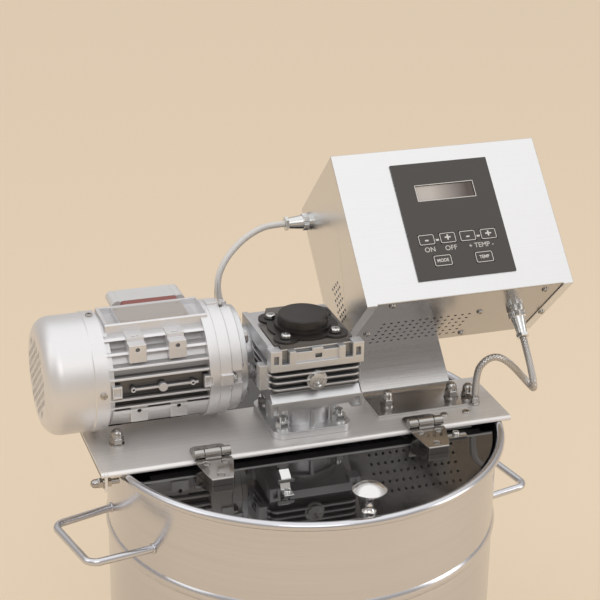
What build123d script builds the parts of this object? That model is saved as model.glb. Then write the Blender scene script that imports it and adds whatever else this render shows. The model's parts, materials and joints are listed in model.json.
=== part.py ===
"""Honey creamer: a stainless drum with a geared stirrer, a hinged smoked lid and a control box.

Millimetres. The origin is on the floor under the drum's axis, +Z is up, +X runs along the bridge
plate towards the control box and -Y is the front, where the lid opens.
"""
import os
from math import atan2, cos, pi, radians, sin, sqrt, tan

from build123d import *

os.makedirs("parts", exist_ok=True)

# Drum
drum_outer_r = 207.0
drum_wall = 1.0
drum_height = 450.0
rim_bead_r = 4.7
floor_height = 24.0
floor_sheet = 1.5
hem_width = 5.0
hem_height = 6.0
swage_rise = 2.4
swage_half = 6.0
upper_swage_drop = 100.0
lower_swage_height = 120.0

# Drum handles: bent rods welded to the wall
handle_rod_r = 4.0
handle_root_half = 48.5
handle_grip_half = 43.5
handle_reach = 61.5
handle_bend_r = 12.0
left_handle_angle = 192.7
left_handle_drop = 74.6
right_handle_angle = 10.1
right_handle_drop = 126.9

# Bridge plate with turned-down lips
plate_rise = 4.6
plate_sheet = 3.0
plate_lip = 4.8
plate_bend_r = 4.4
plate_left_over = 22.0
plate_right_over = 9.5
plate_front = 60.0
plate_back = 44.0
rim_notch_clear = 4.0
lug_width = 22.0
lug_sheet = 3.0
lug_drop = 32.0
lug_reach = 26.0
left_bolt_inset = 7.5
right_bolt_inset = 17.5
right_bolt_y = -4.0
bolt_r = 4.0
bolt_clear = 0.3
clamp_ear_over = 17.0
clamp_ear_sheet = 3.0
clamp_bolt_y = -53.0
clamp_bolt_drop = 13.0
clamp_bolt_r = 3.0

# Lid
lid_rim_gap = 3.0
lid_sheet = 4.0
lid_drop = 10.0
lid_edge = 66.5
lid_tuck = 9.0
lid_tuck_half = 180.0
lid_rest_gap = 0.2
knob_inset = 10.0
knob_r = 17.0
knob_height = 33.0
clip_xy = (-58.5, -127.0)
lid_tab_xy = (149.5, -67.0)
screw_r = 2.0
screw_head_r = 4.0

# Hinges
hinge_centres = (-114.5, 117.5)
hinge_width = 38.0
hinge_tip_width = 27.0
hinge_pin_y = -58.5
hinge_pin_rise = 6.4
hinge_pin_r = 2.0
hinge_knuckle_r = 5.4
hinge_leaf_sheet = 3.0
hinge_leaf_depth = 24.0
hinge_tip_y = -99.0
hinge_side_gap = 0.3
running_clear = 0.05

# Gearbox: worm drive with an upright hollow output shaft
gear_axis_rise = 67.0
worm_centre = 40.0
gear_half_width = 50.0
gear_front = 50.0
gear_half_height = 35.5
gear_flange_half_height = 39.0
gear_flange_r = 38.0
worm_tunnel_r = 29.0
wheel_teeth = 30
gear_module = 2.0
wheel_half_face = 10.0
wheel_tooth_width = 2.5
worm_thread_width = 2.3
hollow_shaft_r = 17.5
stirrer_shaft_r = 9.0
output_bearing_r = 31.0
output_bearing_width = 14.0
worm_bearing_r = 21.0
worm_bearing_width = 12.0
worm_journal_r = 10.0
output_flange_half = 43.0
output_flange_sheet = 8.0
flange_stud_half = 31.0
cap_screw_half = 26.5
cap_r = 26.0
cap_step_r = 29.5
cap_plate_r = 33.0
cap_lobe_r = 9.0
cap_rise = 122.4

# Motor: axis along X beside the gearbox's worm
motor_shaft_r = 5.5
rotor_shaft_r = 7.5
frame_r = 61.5
frame_core_r = 50.0
frame_bore_r = 45.0
frame_left = -209.0
frame_right = -94.0
shield_step = -81.0
motor_face = -69.0
motor_flange_r = 52.0
shield_face_r = 58.0
motor_bearing_r = 17.5
motor_bearing_width = 11.0
air_gap = 0.5
rotor_core_r = 27.5
fan_cover_end = -272.0
fan_cover_sheet = 1.6
fan_cover_round = 18.0
fan_r = 50.0

# Control box, tilted back on its bracket
box_left = 58.6
box_front_y = -32.7
box_front_rise = 135.3
box_width = 234.0
box_height = 172.6
box_depth = 132.7
box_tilt = 44.5
box_sheet = 1.5
box_gap = 0.2
box_flange = 11.5
overlay_left = 61.7
overlay_bottom = 19.7
overlay_width = 110.8
overlay_height = 134.3
overlay_sheet = 1.6
window_left = 84.0
window_bottom = 110.0
window_width = 65.5
window_height = 17.5
key_travel = 0.4
key_proud = 0.3
key_gap = 0.4
bracket_left = 78.0
bracket_right = 181.0
bracket_front = 24.6
bracket_sheet = 3.0
bracket_bend_r = 14.0
bracket_overlap = 105.0
bracket_nut_xy = ((96.4, -1.5), (170.8, -1.5))

# Stirrer and outlet
stirrer_wall_gap = 41.0
stirrer_rod_r = 5.0
gate_height = 56.0
gate_bore_r = 20.0
gate_tube_r = 23.0
gate_reach = 32.0
gate_plate = 6.0
gate_pivot_rise = 38.0
gate_pivot_r = 4.0

# Leads
motor_lead_r = 3.5
sensor_lead_r = 3.8

# Places worked out from the sizes above
drum_inner_r = drum_outer_r - drum_wall
plate_left = drum_outer_r + plate_left_over
plate_right = drum_outer_r + plate_right_over
left_bolt_xy = (left_bolt_inset - drum_outer_r, 0.0)
right_bolt_xy = (drum_outer_r - right_bolt_inset, right_bolt_y)
clamp_ear_x = -drum_outer_r - clamp_ear_over
lid_r = drum_inner_r - lid_rim_gap
knob_ring_r = lid_r - knob_inset
stirrer_reach = drum_inner_r - stirrer_wall_gap - stirrer_rod_r
bead_circle_r = drum_inner_r + rim_bead_r
bead_z = drum_height - rim_bead_r
floor_top = floor_height + floor_sheet
plate_top = drum_height + plate_rise
plate_under = plate_top - plate_sheet
lid_top = plate_top - lid_drop
lid_under = lid_top - lid_sheet
hinge_z = plate_top + hinge_pin_rise
clamp_bolt_z = plate_top - clamp_bolt_drop
gear_z = plate_top + gear_axis_rise
gear_top = gear_z + gear_flange_half_height
gear_bottom = gear_z - gear_flange_half_height
motor_axis = Plane(origin=(0, worm_centre, gear_z), x_dir=(0, 1, 0), z_dir=(1, 0, 0))
tilt = radians(box_tilt)
box_normal = Vector(0, -cos(tilt), sin(tilt))
box_up = Vector(0, sin(tilt), cos(tilt))
box_corner = Vector(box_left, box_front_y, plate_top + box_front_rise)
box_face = Plane(origin=box_corner, x_dir=(1, 0, 0), z_dir=box_normal)


def round_bar(radius, length):
    """A straight round bar standing on the XY plane."""
    with BuildPart() as bar:
        Cylinder(radius, length, align=(Align.CENTER, Align.CENTER, Align.MIN))
    return bar.part


def hex_bar(across, length):
    """A hexagonal bar standing on the XY plane, with its top edges eased."""
    with BuildPart() as bar:
        with BuildSketch():
            RegularPolygon(across / 2, 6, major_radius=False)
        extrude(amount=length)
        chamfer(bar.faces().sort_by(Axis.Z)[-1].edges(), 0.06 * across)
    return bar.part


def acorn_bolt(shank_r, across, below, headed=True):
    """A domed nut on its washer, with its stud hanging below the XY plane, headed or plain."""
    washer = 1.5
    hex_height = 0.5 * across
    dome_r = 0.46 * across
    with BuildPart() as bolt:
        add(round_bar(0.62 * across, washer))
        with Locations((0, 0, washer)):
            add(hex_bar(across, hex_height))
        with Locations((0, 0, washer + hex_height)):
            add(round_bar(dome_r, 0.25 * across))
        with Locations((0, 0, washer + hex_height + 0.25 * across)):
            Sphere(dome_r)
        with Locations((0, 0, -below)):
            add(round_bar(shank_r, below))
        if headed:
            with Locations((0, 0, -below - 0.4 * across)):
                add(hex_bar(across, 0.4 * across))
    return bolt.part


def pan_screw(shank_r, head_r, head, length):
    """A round-headed screw with a cross recess; its shank hangs below the XY plane."""
    with BuildPart() as screw:
        add(round_bar(head_r, head))
        fillet(screw.faces().sort_by(Axis.Z)[-1].edges(), 0.55 * head)
        with Locations((0, 0, head)):
            Box(1.1 * head_r, 0.25 * head_r, head, mode=Mode.SUBTRACT)
            Box(0.25 * head_r, 1.1 * head_r, head, mode=Mode.SUBTRACT)
        with Locations((0, 0, -length)):
            add(round_bar(shank_r, length))
    return screw.part


def ring(outer_r, inner_r, length):
    """A plain ring standing on the XY plane."""
    with BuildPart() as band:
        Cylinder(outer_r, length, align=(Align.CENTER, Align.CENTER, Align.MIN))
        Cylinder(inner_r, 3 * length, mode=Mode.SUBTRACT)
    return band.part


def ball_bearing(outer_r, inner_r, width):
    """A sealed bearing as one ring, with its shields recessed between the two races."""
    race = 0.26 * (outer_r - inner_r)
    with BuildPart() as bearing:
        add(ring(outer_r, inner_r, width))
        with Locations((0, 0, -1), (0, 0, width - 1)):
            add(ring(outer_r - race, inner_r + race, 2), mode=Mode.SUBTRACT)
    return bearing.part


def along_x(x, y=worm_centre, z=gear_z):
    """A place whose own Z axis points along +X."""
    return Location((x, y, z), (0, 90, 0))


def write(node, label):
    """Labels one sub-part and writes its file."""
    node.part.label = label
    export_step(node.part, f"parts/{label}.step")


# Drum: rolled rim, two swage rings, a raised floor on a hemmed skirt, and the lugs welded inside
def wall_line(radius):
    """One face of the drum's wall from the floor to the rim, bulging at each swage ring."""
    start = (radius, 0)
    for z in (lower_swage_height, drum_height - upper_swage_drop):
        Line(start, (radius, z - swage_half))
        ThreePointArc((radius, z - swage_half), (radius + swage_rise, z), (radius, z + swage_half))
        start = (radius, z + swage_half)
    Line(start, (radius, bead_z))


with BuildPart() as drum_lugs:
    for bolt_x, bolt_y in (left_bolt_xy, right_bolt_xy):
        side = 1 if bolt_x > 0 else -1
        corner = (side * (drum_outer_r - lug_reach / 2), bolt_y + (4.0 if side > 0 else 0.0), plate_under)
        with Locations(corner):
            Box(lug_reach, lug_width, lug_sheet, align=(Align.CENTER, Align.CENTER, Align.MAX))
        with Locations((side * (drum_outer_r - 2 * lug_sheet / 2), corner[1], plate_under)):
            Box(2 * lug_sheet, lug_width, lug_drop, align=(Align.CENTER, Align.CENTER, Align.MAX))
    for angle in (-135, -45, 45, 135):
        spot = Location((0, 0, lid_under - lid_rest_gap), (0, 0, angle))
        with Locations(spot):
            with Locations((drum_inner_r, 0, 0)):
                Box(2 * 11.0, 16.0, 2.0, align=(Align.CENTER, Align.CENTER, Align.MAX))
    Cylinder(drum_inner_r, 4 * drum_height, mode=Mode.INTERSECT)
    for bolt_x, bolt_y in (left_bolt_xy, right_bolt_xy):
        with Locations((bolt_x, bolt_y, plate_under)):
            Cylinder(bolt_r, 2 * lug_sheet, mode=Mode.SUBTRACT)

with BuildPart() as drum_shell:
    with BuildSketch(Plane.XZ):
        with BuildLine():
            wall_line(drum_outer_r)
            wall_line(drum_inner_r)
            Line((drum_outer_r, 0), (drum_inner_r, 0))
            Line((drum_outer_r, bead_z), (drum_inner_r, bead_z))
        make_face()
        with Locations((0, floor_height)):
            Rectangle(drum_inner_r + drum_wall / 2, floor_sheet, align=(Align.MIN, Align.MIN))
        with Locations((drum_inner_r - hem_width, 0)):
            Rectangle(hem_width + drum_wall / 2, hem_height, align=(Align.MIN, Align.MIN))
        with Locations((bead_circle_r, bead_z)):
            Circle(rim_bead_r)
    revolve(axis=Axis.Z)
    with Locations(Location((0, -drum_outer_r, gate_height), (90, 0, 0))):
        Cylinder(gate_bore_r, 60, mode=Mode.SUBTRACT)
    add(drum_lugs.part)
write(drum_shell, "drum_shell")


def loop_handle(angle, height):
    """A bent rod handle whose two ends stand on the drum's wall."""
    root = sqrt(drum_outer_r**2 - handle_root_half**2) - 2 * handle_rod_r
    grip = drum_outer_r + handle_reach
    with BuildPart() as loop:
        with BuildLine(Plane.XY) as path:
            FilletPolyline(
                (root, handle_root_half), (grip, handle_grip_half),
                (grip, -handle_grip_half), (root, -handle_root_half), radius=handle_bend_r)
        with BuildSketch(Plane(origin=path.line @ 0, z_dir=path.line % 0)):
            Circle(handle_rod_r)
        sweep()
        Cylinder(drum_outer_r, 60, mode=Mode.SUBTRACT)
    return loop.part.moved(Location((0, 0, height), (0, 0, angle)))


with BuildPart() as left_handle:
    add(loop_handle(left_handle_angle, plate_top - left_handle_drop))
write(left_handle, "left_handle")

with BuildPart() as right_handle:
    add(loop_handle(right_handle_angle, plate_top - right_handle_drop))
write(right_handle, "right_handle")

# Outlet gate at the foot of the drum's front: a flanged spout and a blade that swings aside
gate_seat_y = -drum_outer_r - gate_reach
gate_pivot_z = gate_height + gate_pivot_rise
blade_gap = 0.2

with BuildPart() as gate_body:
    with Locations(Location((0, 0, gate_height), (90, 0, 0))):
        Cylinder(gate_tube_r, -gate_seat_y, align=(Align.CENTER, Align.CENTER, Align.MIN))
    with BuildSketch(Plane(origin=(0, gate_seat_y, gate_height), x_dir=(1, 0, 0), z_dir=(0, 1, 0))):
        Circle(gate_tube_r + 6)
        with Locations((0, -gate_pivot_rise)):
            Circle(gate_pivot_r + 7)
        Rectangle(2 * (gate_pivot_r + 7), gate_pivot_rise, align=(Align.CENTER, Align.MAX))
    extrude(amount=gate_plate)
    Cylinder(drum_outer_r, 3 * gate_height, align=(Align.CENTER, Align.CENTER, Align.MIN), mode=Mode.SUBTRACT)
    with Locations(Location((0, -drum_outer_r, gate_height), (90, 0, 0))):
        Cylinder(gate_bore_r, 6 * gate_reach, mode=Mode.SUBTRACT)
    with Locations(Location((0, gate_seat_y + gate_plate + 4, gate_pivot_z), (90, 0, 0))):
        add(hex_bar(13.0, 4.0))
    with Locations(Location((0, gate_seat_y + 1, gate_pivot_z), (90, 0, 0))):
        add(round_bar(gate_pivot_r, 2 * gate_plate + 2))
    with Locations(Location((0, gate_seat_y - gate_plate - 2 * blade_gap, gate_pivot_z), (90, 0, 0))):
        add(round_bar(gate_pivot_r + 6, 3.0))
        with Locations((0, 0, 3.0)):
            add(round_bar(gate_pivot_r + 4, 7.0))
            Box(40.0, 5.0, 7.0, align=(Align.CENTER, Align.CENTER, Align.MIN))
write(gate_body, "gate_body")

with BuildPart() as gate_blade:
    blade_plane = Plane(origin=(0, gate_seat_y - blade_gap, gate_height), x_dir=(1, 0, 0), z_dir=(0, -1, 0))
    with BuildSketch(blade_plane):
        Circle(gate_tube_r + 4)
        with Locations((0, gate_pivot_rise)):
            Circle(gate_pivot_r + 7)
        Rectangle(2 * (gate_pivot_r + 7), gate_pivot_rise, align=(Align.CENTER, Align.MIN))
        with Locations((0, -gate_tube_r)):
            SlotOverall(34.0, 14.0, rotation=90)
    extrude(amount=gate_plate)
    with Locations(Location((0, gate_seat_y, gate_pivot_z), (90, 0, 0))):
        Cylinder(gate_pivot_r + running_clear, 6 * gate_plate, mode=Mode.SUBTRACT)
    fillet(gate_blade.faces().sort_by(Axis.Y)[0].outer_wire().edges(), 1.2)
write(gate_blade, "gate_blade")

# Stirrer: a shaft from the gearbox to a bush on the floor, with a rod frame and pitched paddles
bush_r = 20.0
bush_height = 16.0
stirrer_foot = floor_top + 5.0

with BuildPart() as bottom_bush:
    with Locations((0, 0, floor_top)):
        add(round_bar(bush_r, bush_height))
    chamfer(bottom_bush.faces().sort_by(Axis.Z)[-1].edges(), 3.0)
    with Locations((0, 0, floor_top + 3.0)):
        Cylinder(
            stirrer_shaft_r + running_clear, bush_height,
            align=(Align.CENTER, Align.CENTER, Align.MIN), mode=Mode.SUBTRACT)
write(bottom_bush, "bottom_bush")

with BuildPart() as stirrer_shaft:
    with Locations((0, 0, stirrer_foot)):
        add(round_bar(stirrer_shaft_r, gear_top + 1.0 - stirrer_foot))
    chamfer(stirrer_shaft.edges().filter_by(GeomType.CIRCLE), 1.0)
    with Locations((0, 0, gear_top + 1.0)):
        add(round_bar(hollow_shaft_r - 2, 3.0))
        with Locations((0, 0, 3.0)):
            add(hex_bar(10.0, 5.0))
write(stirrer_shaft, "stirrer_shaft")

frame_low = floor_top + 34.0
frame_high = drum_height - 120.0
hub_height = 34.0

with BuildPart() as stirrer_frame:
    for side in (-1, 1):
        with BuildLine(Plane.XZ) as path:
            FilletPolyline(
                (0, frame_high), (side * stirrer_reach, frame_high - 30.0),
                (side * stirrer_reach, frame_low), (0, frame_low), radius=35.0)
        with BuildSketch(Plane(origin=path.line @ 0, z_dir=path.line % 0)):
            Circle(stirrer_rod_r)
        sweep()
    for z in (frame_low - hub_height / 2, frame_high - hub_height / 2):
        with Locations((0, 0, z)):
            add(round_bar(stirrer_shaft_r + 6, hub_height))
    for side in (-1, 1):
        with Locations(Location((0, side * 70.0, frame_low), (0, side * 35.0, 0))):
            Box(44.0, 116.0, 4.0)
    Cylinder(stirrer_shaft_r, 4 * drum_height, mode=Mode.SUBTRACT)
write(stirrer_frame, "stirrer_frame")

# Bridge plate: one sheet across the rim with both long edges turned down, notched over the rim
with BuildPart() as bridge_plate:
    with BuildSketch(Plane(origin=(-plate_left, 0, plate_top), x_dir=(0, 1, 0), z_dir=(1, 0, 0))):
        with BuildLine():
            outer = Polyline(
                (-plate_front, -plate_lip), (-plate_front, 0), (plate_back, 0), (plate_back, -plate_lip))
            Line((plate_back, -plate_lip), (plate_back - plate_sheet, -plate_lip))
            Polyline(
                (plate_back - plate_sheet, -plate_lip), (plate_back - plate_sheet, -plate_sheet),
                (plate_sheet - plate_front, -plate_sheet), (plate_sheet - plate_front, -plate_lip))
            Line((plate_sheet - plate_front, -plate_lip), (-plate_front, -plate_lip))
        make_face()
    extrude(amount=plate_left + plate_right)
    fillet(bridge_plate.edges().filter_by(Axis.X).group_by(Axis.Z)[-1], plate_bend_r)
    with Locations((clamp_ear_x, clamp_bolt_y, plate_under)):
        Box(clamp_ear_sheet, 14.0, 2 * clamp_bolt_drop - 8.0, align=(Align.CENTER, Align.CENTER, Align.MAX))
    with Locations((0, 0, drum_height)):
        add(ring(bead_circle_r + rim_bead_r + rim_notch_clear, drum_inner_r - 2, plate_lip).moved(
            Location((0, 0, -plate_lip))), mode=Mode.SUBTRACT)
    with Locations(*[(x, y, plate_top) for x, y in (left_bolt_xy, right_bolt_xy) + bracket_nut_xy]):
        Cylinder(bolt_r + bolt_clear, 4 * plate_sheet, mode=Mode.SUBTRACT)
    with GridLocations(2 * flange_stud_half, 2 * flange_stud_half, 2, 2):
        with Locations((0, 0, plate_top)):
            Cylinder(bolt_r + bolt_clear, 4 * plate_sheet, mode=Mode.SUBTRACT)
    with Locations((0, 0, plate_top)):
        Cylinder(hollow_shaft_r + 4, 4 * plate_sheet, mode=Mode.SUBTRACT)
    with Locations(along_x(clamp_ear_x, clamp_bolt_y, clamp_bolt_z)):
        Cylinder(clamp_bolt_r + bolt_clear, 4 * clamp_ear_sheet, mode=Mode.SUBTRACT)

probe_xy = (drum_outer_r - 16.6, -21.5)
rivet_xy = ((148.0, -37.5), (173.2, -38.0))
switch_box = (34.0, 18.0, 11.0)
switch_xy = (160.6, -37.7)
rivet_r = 2.4
probe_r = 3.4
probe_collar = 9.0
probe_wall = 0.8
hinge_hole_y = hinge_pin_y + 14.0
hinge_screw_spots = [
    (centre + side * 0.27 * hinge_width, hinge_hole_y) for centre in hinge_centres for side in (-1, 1)]

with bridge_plate:
    with Locations(*[(x, y, plate_top) for x, y in rivet_xy]):
        Cylinder(rivet_r, 4 * plate_sheet, mode=Mode.SUBTRACT)
    with Locations((*probe_xy, plate_top)):
        Cylinder(probe_r + 1.0, 4 * plate_sheet, mode=Mode.SUBTRACT)
    with Locations(*[(x, y, plate_top) for x, y in hinge_screw_spots]):
        Cylinder(screw_r, 4 * plate_sheet, mode=Mode.SUBTRACT)
write(bridge_plate, "bridge_plate")

# Bolts of the plate: two into the rim lugs, two through the bracket, and the clamp against the rim
clamp_tip_x = -sqrt((bead_circle_r + rim_bead_r) ** 2 - (clamp_bolt_y + clamp_bolt_r) ** 2) - 0.1

with BuildPart() as plate_bolts:
    with Locations(*[(x, y, plate_top) for x, y in (left_bolt_xy, right_bolt_xy)]):
        add(acorn_bolt(bolt_r, 13.0, plate_sheet + lug_sheet, headed=False))
    with Locations(*[(x, y, plate_top + bracket_sheet) for x, y in bracket_nut_xy]):
        add(acorn_bolt(bolt_r, 13.0, bracket_sheet + plate_sheet))
    with Locations(Location((clamp_ear_x - clamp_ear_sheet / 2, clamp_bolt_y, clamp_bolt_z), (0, -90, 0))):
        add(acorn_bolt(clamp_bolt_r, 10.0, clamp_ear_sheet))
    with Locations(along_x(clamp_ear_x + clamp_ear_sheet / 2 + 4.0, clamp_bolt_y, clamp_bolt_z)):
        add(round_bar(clamp_bolt_r, clamp_tip_x - clamp_ear_x - clamp_ear_sheet / 2 - 4.0))
write(plate_bolts, "plate_bolts")

with BuildPart() as lid_switch:
    with Locations((*switch_xy, plate_under)):
        Box(*switch_box, align=(Align.CENTER, Align.CENTER, Align.MAX))
    fillet(lid_switch.edges().filter_by(Axis.Z), 2.0)
    with Locations(*[(x, y, plate_under) for x, y in rivet_xy]):
        Cylinder(rivet_r, 4 * switch_box[2], mode=Mode.SUBTRACT)
write(lid_switch, "lid_switch")

with BuildPart() as temperature_probe:
    with Locations((*probe_xy, plate_top)):
        add(round_bar(sensor_lead_r + probe_wall, probe_collar))
    chamfer(temperature_probe.faces().sort_by(Axis.Z)[-1].edges(), 0.8)
    with Locations((*probe_xy, plate_top)):
        add(hex_bar(11.0, 2.2))
    with Locations((*probe_xy, plate_under - 4.0)):
        add(hex_bar(13.0, 4.0))
    with Locations((*probe_xy, plate_under)):
        add(round_bar(probe_r + 1.0, plate_sheet))
    with Locations((*probe_xy, plate_top - 300.0)):
        add(round_bar(probe_r, 300.0))
write(temperature_probe, "temperature_probe")

# Lid: half a disc of smoked acrylic inside the rim, with its knob, spring clip and switch tab
knob_xy = (5.0, -knob_ring_r)
leaf_screw_row = -lid_edge - 5.0
leaf_screw_tip = hinge_tip_y + 7.0
leaf_screw_half = 9.8
leaf_screw_spots = [
    (centre + side * leaf_screw_half, leaf_screw_row if side else leaf_screw_tip)
    for centre in hinge_centres for side in (-1, 1, 0)]
clip_width = 10.0
clip_height = 20.5
clip_sheet = 1.2
tab_sheet = 2.0


def lid_outline(radius):
    """The front part of a disc, cut along the bridge plate, with a strip that goes under the plate."""
    with BuildSketch() as outline:
        Circle(radius)
        with Locations((0, -lid_edge)):
            Rectangle(3 * radius, 3 * radius, align=(Align.CENTER, Align.MIN), mode=Mode.SUBTRACT)
        with Locations((0, lid_tuck - lid_edge)):
            Rectangle(2 * lid_tuck_half, 2 * lid_tuck, align=(Align.CENTER, Align.MAX))
    return outline.sketch


with BuildPart() as lid_panel:
    with BuildSketch(Plane.XY.offset(lid_under)):
        add(lid_outline(lid_r))
    extrude(amount=lid_sheet)
    chamfer(lid_panel.faces().sort_by(Axis.Z)[-1].edges(), 0.5)
    holes = [knob_xy, (clip_xy[0], clip_xy[1] - 5.0), lid_tab_xy] + leaf_screw_spots
    with Locations(*[(x, y, lid_top) for x, y in holes]):
        Cylinder(screw_r, 4 * lid_sheet, mode=Mode.SUBTRACT)
write(lid_panel, "lid_panel")

with BuildPart() as rear_cover:
    with BuildSketch(Plane.XY.offset(lid_under)) as cover_sketch:
        add(lid_outline(lid_r))
        mirror(about=Plane.XZ, mode=Mode.REPLACE)
    extrude(amount=lid_sheet)
    chamfer(rear_cover.faces().sort_by(Axis.Z)[-1].edges(), 0.5)
write(rear_cover, "rear_cover")

with BuildPart() as lid_knob:
    with BuildSketch(Plane.XZ):
        with BuildLine():
            base = Line((0, 0), (7.2, 0))
            foot = Line((7.2, 0), (7.2, 2.6))
            foot_curve = ThreePointArc((7.2, 2.6), (4.9, 5.0), (4.2, 9.0))
            neck = ThreePointArc((4.2, 9.0), (4.6, 16.0), (8.0, 20.5))
            under = ThreePointArc((8.0, 20.5), (14.5, 22.5), (knob_r, 26.0))
            crown = TangentArc((0, knob_height), (knob_r, 26.0), tangent=(1, 0))
            Line((0, knob_height), (0, 0))
        make_face()
    revolve(axis=Axis.Z)
    Cylinder(screw_r, 24.0, mode=Mode.SUBTRACT)
lid_knob.part = lid_knob.part.moved(Location((*knob_xy, lid_top)))
write(lid_knob, "lid_knob")

with BuildPart() as lid_clip:
    half = clip_width / 2
    with BuildSketch(Plane.YZ):
        with BuildLine():
            strip = FilletPolyline(
                (-12, clip_sheet / 2), (0, clip_sheet / 2), (3.5, 0.40 * clip_height),
                (-3.0, 0.62 * clip_height), (1.5, clip_height - 4), (7.0, clip_height - 1), radius=1.8)
            offset(amount=clip_sheet / 2, kind=Kind.ARC)
        make_face()
    extrude(amount=half, both=True)
    with Locations((0, -2.2, 0.58 * clip_height)):
        Box(clip_width + 7.0, clip_sheet, 3.4)
    with Locations((0, -5.0, 0)):
        Cylinder(screw_r, 6.0, mode=Mode.SUBTRACT)
lid_clip.part = lid_clip.part.moved(Location((*clip_xy, lid_top)))
write(lid_clip, "lid_clip")

with BuildPart() as lid_tab:
    with Locations((*lid_tab_xy, lid_top)):
        Box(22.0, 15.0, tab_sheet, align=(Align.CENTER, Align.CENTER, Align.MIN))
    fillet(lid_tab.edges().filter_by(Axis.Z), 2.0)
    with Locations((*lid_tab_xy, lid_top)):
        Cylinder(screw_r, 6 * tab_sheet, mode=Mode.SUBTRACT)
write(lid_tab, "lid_tab")

# Hinges: cast leaves on the lid, flat leaves on the plate, knuckles interleaved on one pin each
knuckle_outer = 0.27 * hinge_width
knuckle_split = hinge_width / 2 - knuckle_outer


def knuckle(centre, low, high):
    """One knuckle of a hinge from low to high along X about the hinge's centre."""
    with BuildPart() as barrel:
        with Locations(along_x(centre + low, hinge_pin_y, hinge_z)):
            add(round_bar(hinge_knuckle_r, high - low))
    return barrel.part


with BuildPart() as plate_leaves:
    for centre in hinge_centres:
        with Locations((centre, hinge_pin_y, plate_top)):
            Box(hinge_width, hinge_leaf_depth, hinge_leaf_sheet, align=(Align.CENTER, Align.MIN, Align.MIN))
        with Locations((centre, hinge_pin_y, plate_top)):
            Box(2 * knuckle_split + 2 * hinge_side_gap, 2 * (hinge_knuckle_r + 1.0), 4 * hinge_leaf_sheet,
                mode=Mode.SUBTRACT)
    fillet(plate_leaves.edges().filter_by(Axis.Z).group_by(Axis.Y)[-1], 7.0)
    for centre in hinge_centres:
        add(knuckle(centre, -hinge_width / 2, -knuckle_split - hinge_side_gap))
        add(knuckle(centre, knuckle_split + hinge_side_gap, hinge_width / 2))
        for side in (-1, 1):
            web = knuckle_outer - hinge_side_gap
            with Locations((centre + side * (hinge_width / 2 - web / 2), hinge_pin_y, plate_top)):
                Box(web, 6.0, hinge_pin_rise, align=(Align.CENTER, Align.MIN, Align.MIN))
    with Locations(*[along_x(centre, hinge_pin_y, hinge_z) for centre in hinge_centres]):
        Cylinder(hinge_pin_r, 2 * hinge_width, mode=Mode.SUBTRACT)
    with Locations(*[(x, y, plate_top) for x, y in hinge_screw_spots]):
        Cylinder(screw_r, 6 * hinge_leaf_sheet, mode=Mode.SUBTRACT)
write(plate_leaves, "plate_leaves")

leaf_head_r = 3.4
leaf_head = 1.4
leaf_back_rise = 2.6
leaf_tip_rise = -2.2
leaf_over_plate = 1.0
leaf_back_y = hinge_pin_y - hinge_knuckle_r - 1.0


def leaf_seat(y):
    """Height above the plate of the spot face that seats a screw flush in a lid leaf."""
    fall = (leaf_back_rise - leaf_tip_rise) / (leaf_back_y - hinge_tip_y)
    return leaf_back_rise - fall * (leaf_back_y - y) - leaf_head


with BuildPart() as lid_leaves:
    for centre in hinge_centres:
        with BuildSketch(Plane(origin=(centre, 0, plate_top), x_dir=(0, 1, 0), z_dir=(1, 0, 0))):
            with BuildLine():
                Polyline(
                    (hinge_pin_y - 0.5, hinge_pin_rise), (leaf_back_y + 2.0, leaf_back_rise + 1.0),
                    (leaf_back_y, leaf_back_rise), (hinge_tip_y, leaf_tip_rise),
                    (hinge_tip_y, -lid_drop), (-lid_edge - 0.5, -lid_drop),
                    (-lid_edge - 0.5, leaf_over_plate), (hinge_pin_y - 0.5, leaf_over_plate), close=True)
            make_face()
        extrude(amount=hinge_width / 2, both=True)
    for centre in hinge_centres:
        with BuildSketch(Plane.XY.offset(plate_top - 3 * lid_drop)):
            with BuildLine():
                Polyline(
                    (centre - hinge_width, hinge_pin_y + 20), (centre - hinge_width / 2, hinge_pin_y + 20),
                    (centre - hinge_width / 2, hinge_pin_y - 12),
                    (centre - hinge_tip_width / 2, hinge_tip_y + 6),
                    (centre - hinge_tip_width / 2 + 5, hinge_tip_y - 6),
                    (centre - hinge_width, hinge_tip_y - 6),
                    close=True)
            make_face()
            mirror(about=Plane.YZ.offset(centre))
        extrude(amount=6 * lid_drop, mode=Mode.SUBTRACT)
    fillet(lid_leaves.edges().filter_by(Axis.X).group_by(Axis.Y)[0].group_by(Axis.Z)[-1], 1.5)
    for centre in hinge_centres:
        for side in (-1, 1):
            web = knuckle_outer + hinge_side_gap
            with Locations((centre + side * (hinge_width / 2 - web / 2), hinge_pin_y, hinge_z)):
                Box(web, 2 * (hinge_knuckle_r + 0.4), 3 * hinge_knuckle_r, mode=Mode.SUBTRACT)
        add(knuckle(centre, -knuckle_split + hinge_side_gap, knuckle_split - hinge_side_gap))
    with Locations(*[along_x(centre, hinge_pin_y, hinge_z) for centre in hinge_centres]):
        Cylinder(hinge_pin_r + running_clear, 2 * hinge_width, mode=Mode.SUBTRACT)
    with Locations(*[(x, y, lid_top) for x, y in leaf_screw_spots]):
        Cylinder(screw_r, 8 * lid_drop, mode=Mode.SUBTRACT)
    for x, y in leaf_screw_spots:
        with Locations((x, y, plate_top + leaf_seat(y))):
            Cylinder(
                leaf_head_r + 0.2, 20.0, align=(Align.CENTER, Align.CENTER, Align.MIN), mode=Mode.SUBTRACT)
write(lid_leaves, "lid_leaves")

with BuildPart() as hinge_pins:
    for centre in hinge_centres:
        with Locations(along_x(centre - hinge_width / 2, hinge_pin_y, hinge_z)):
            add(round_bar(hinge_pin_r, hinge_width))
write(hinge_pins, "hinge_pins")

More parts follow.
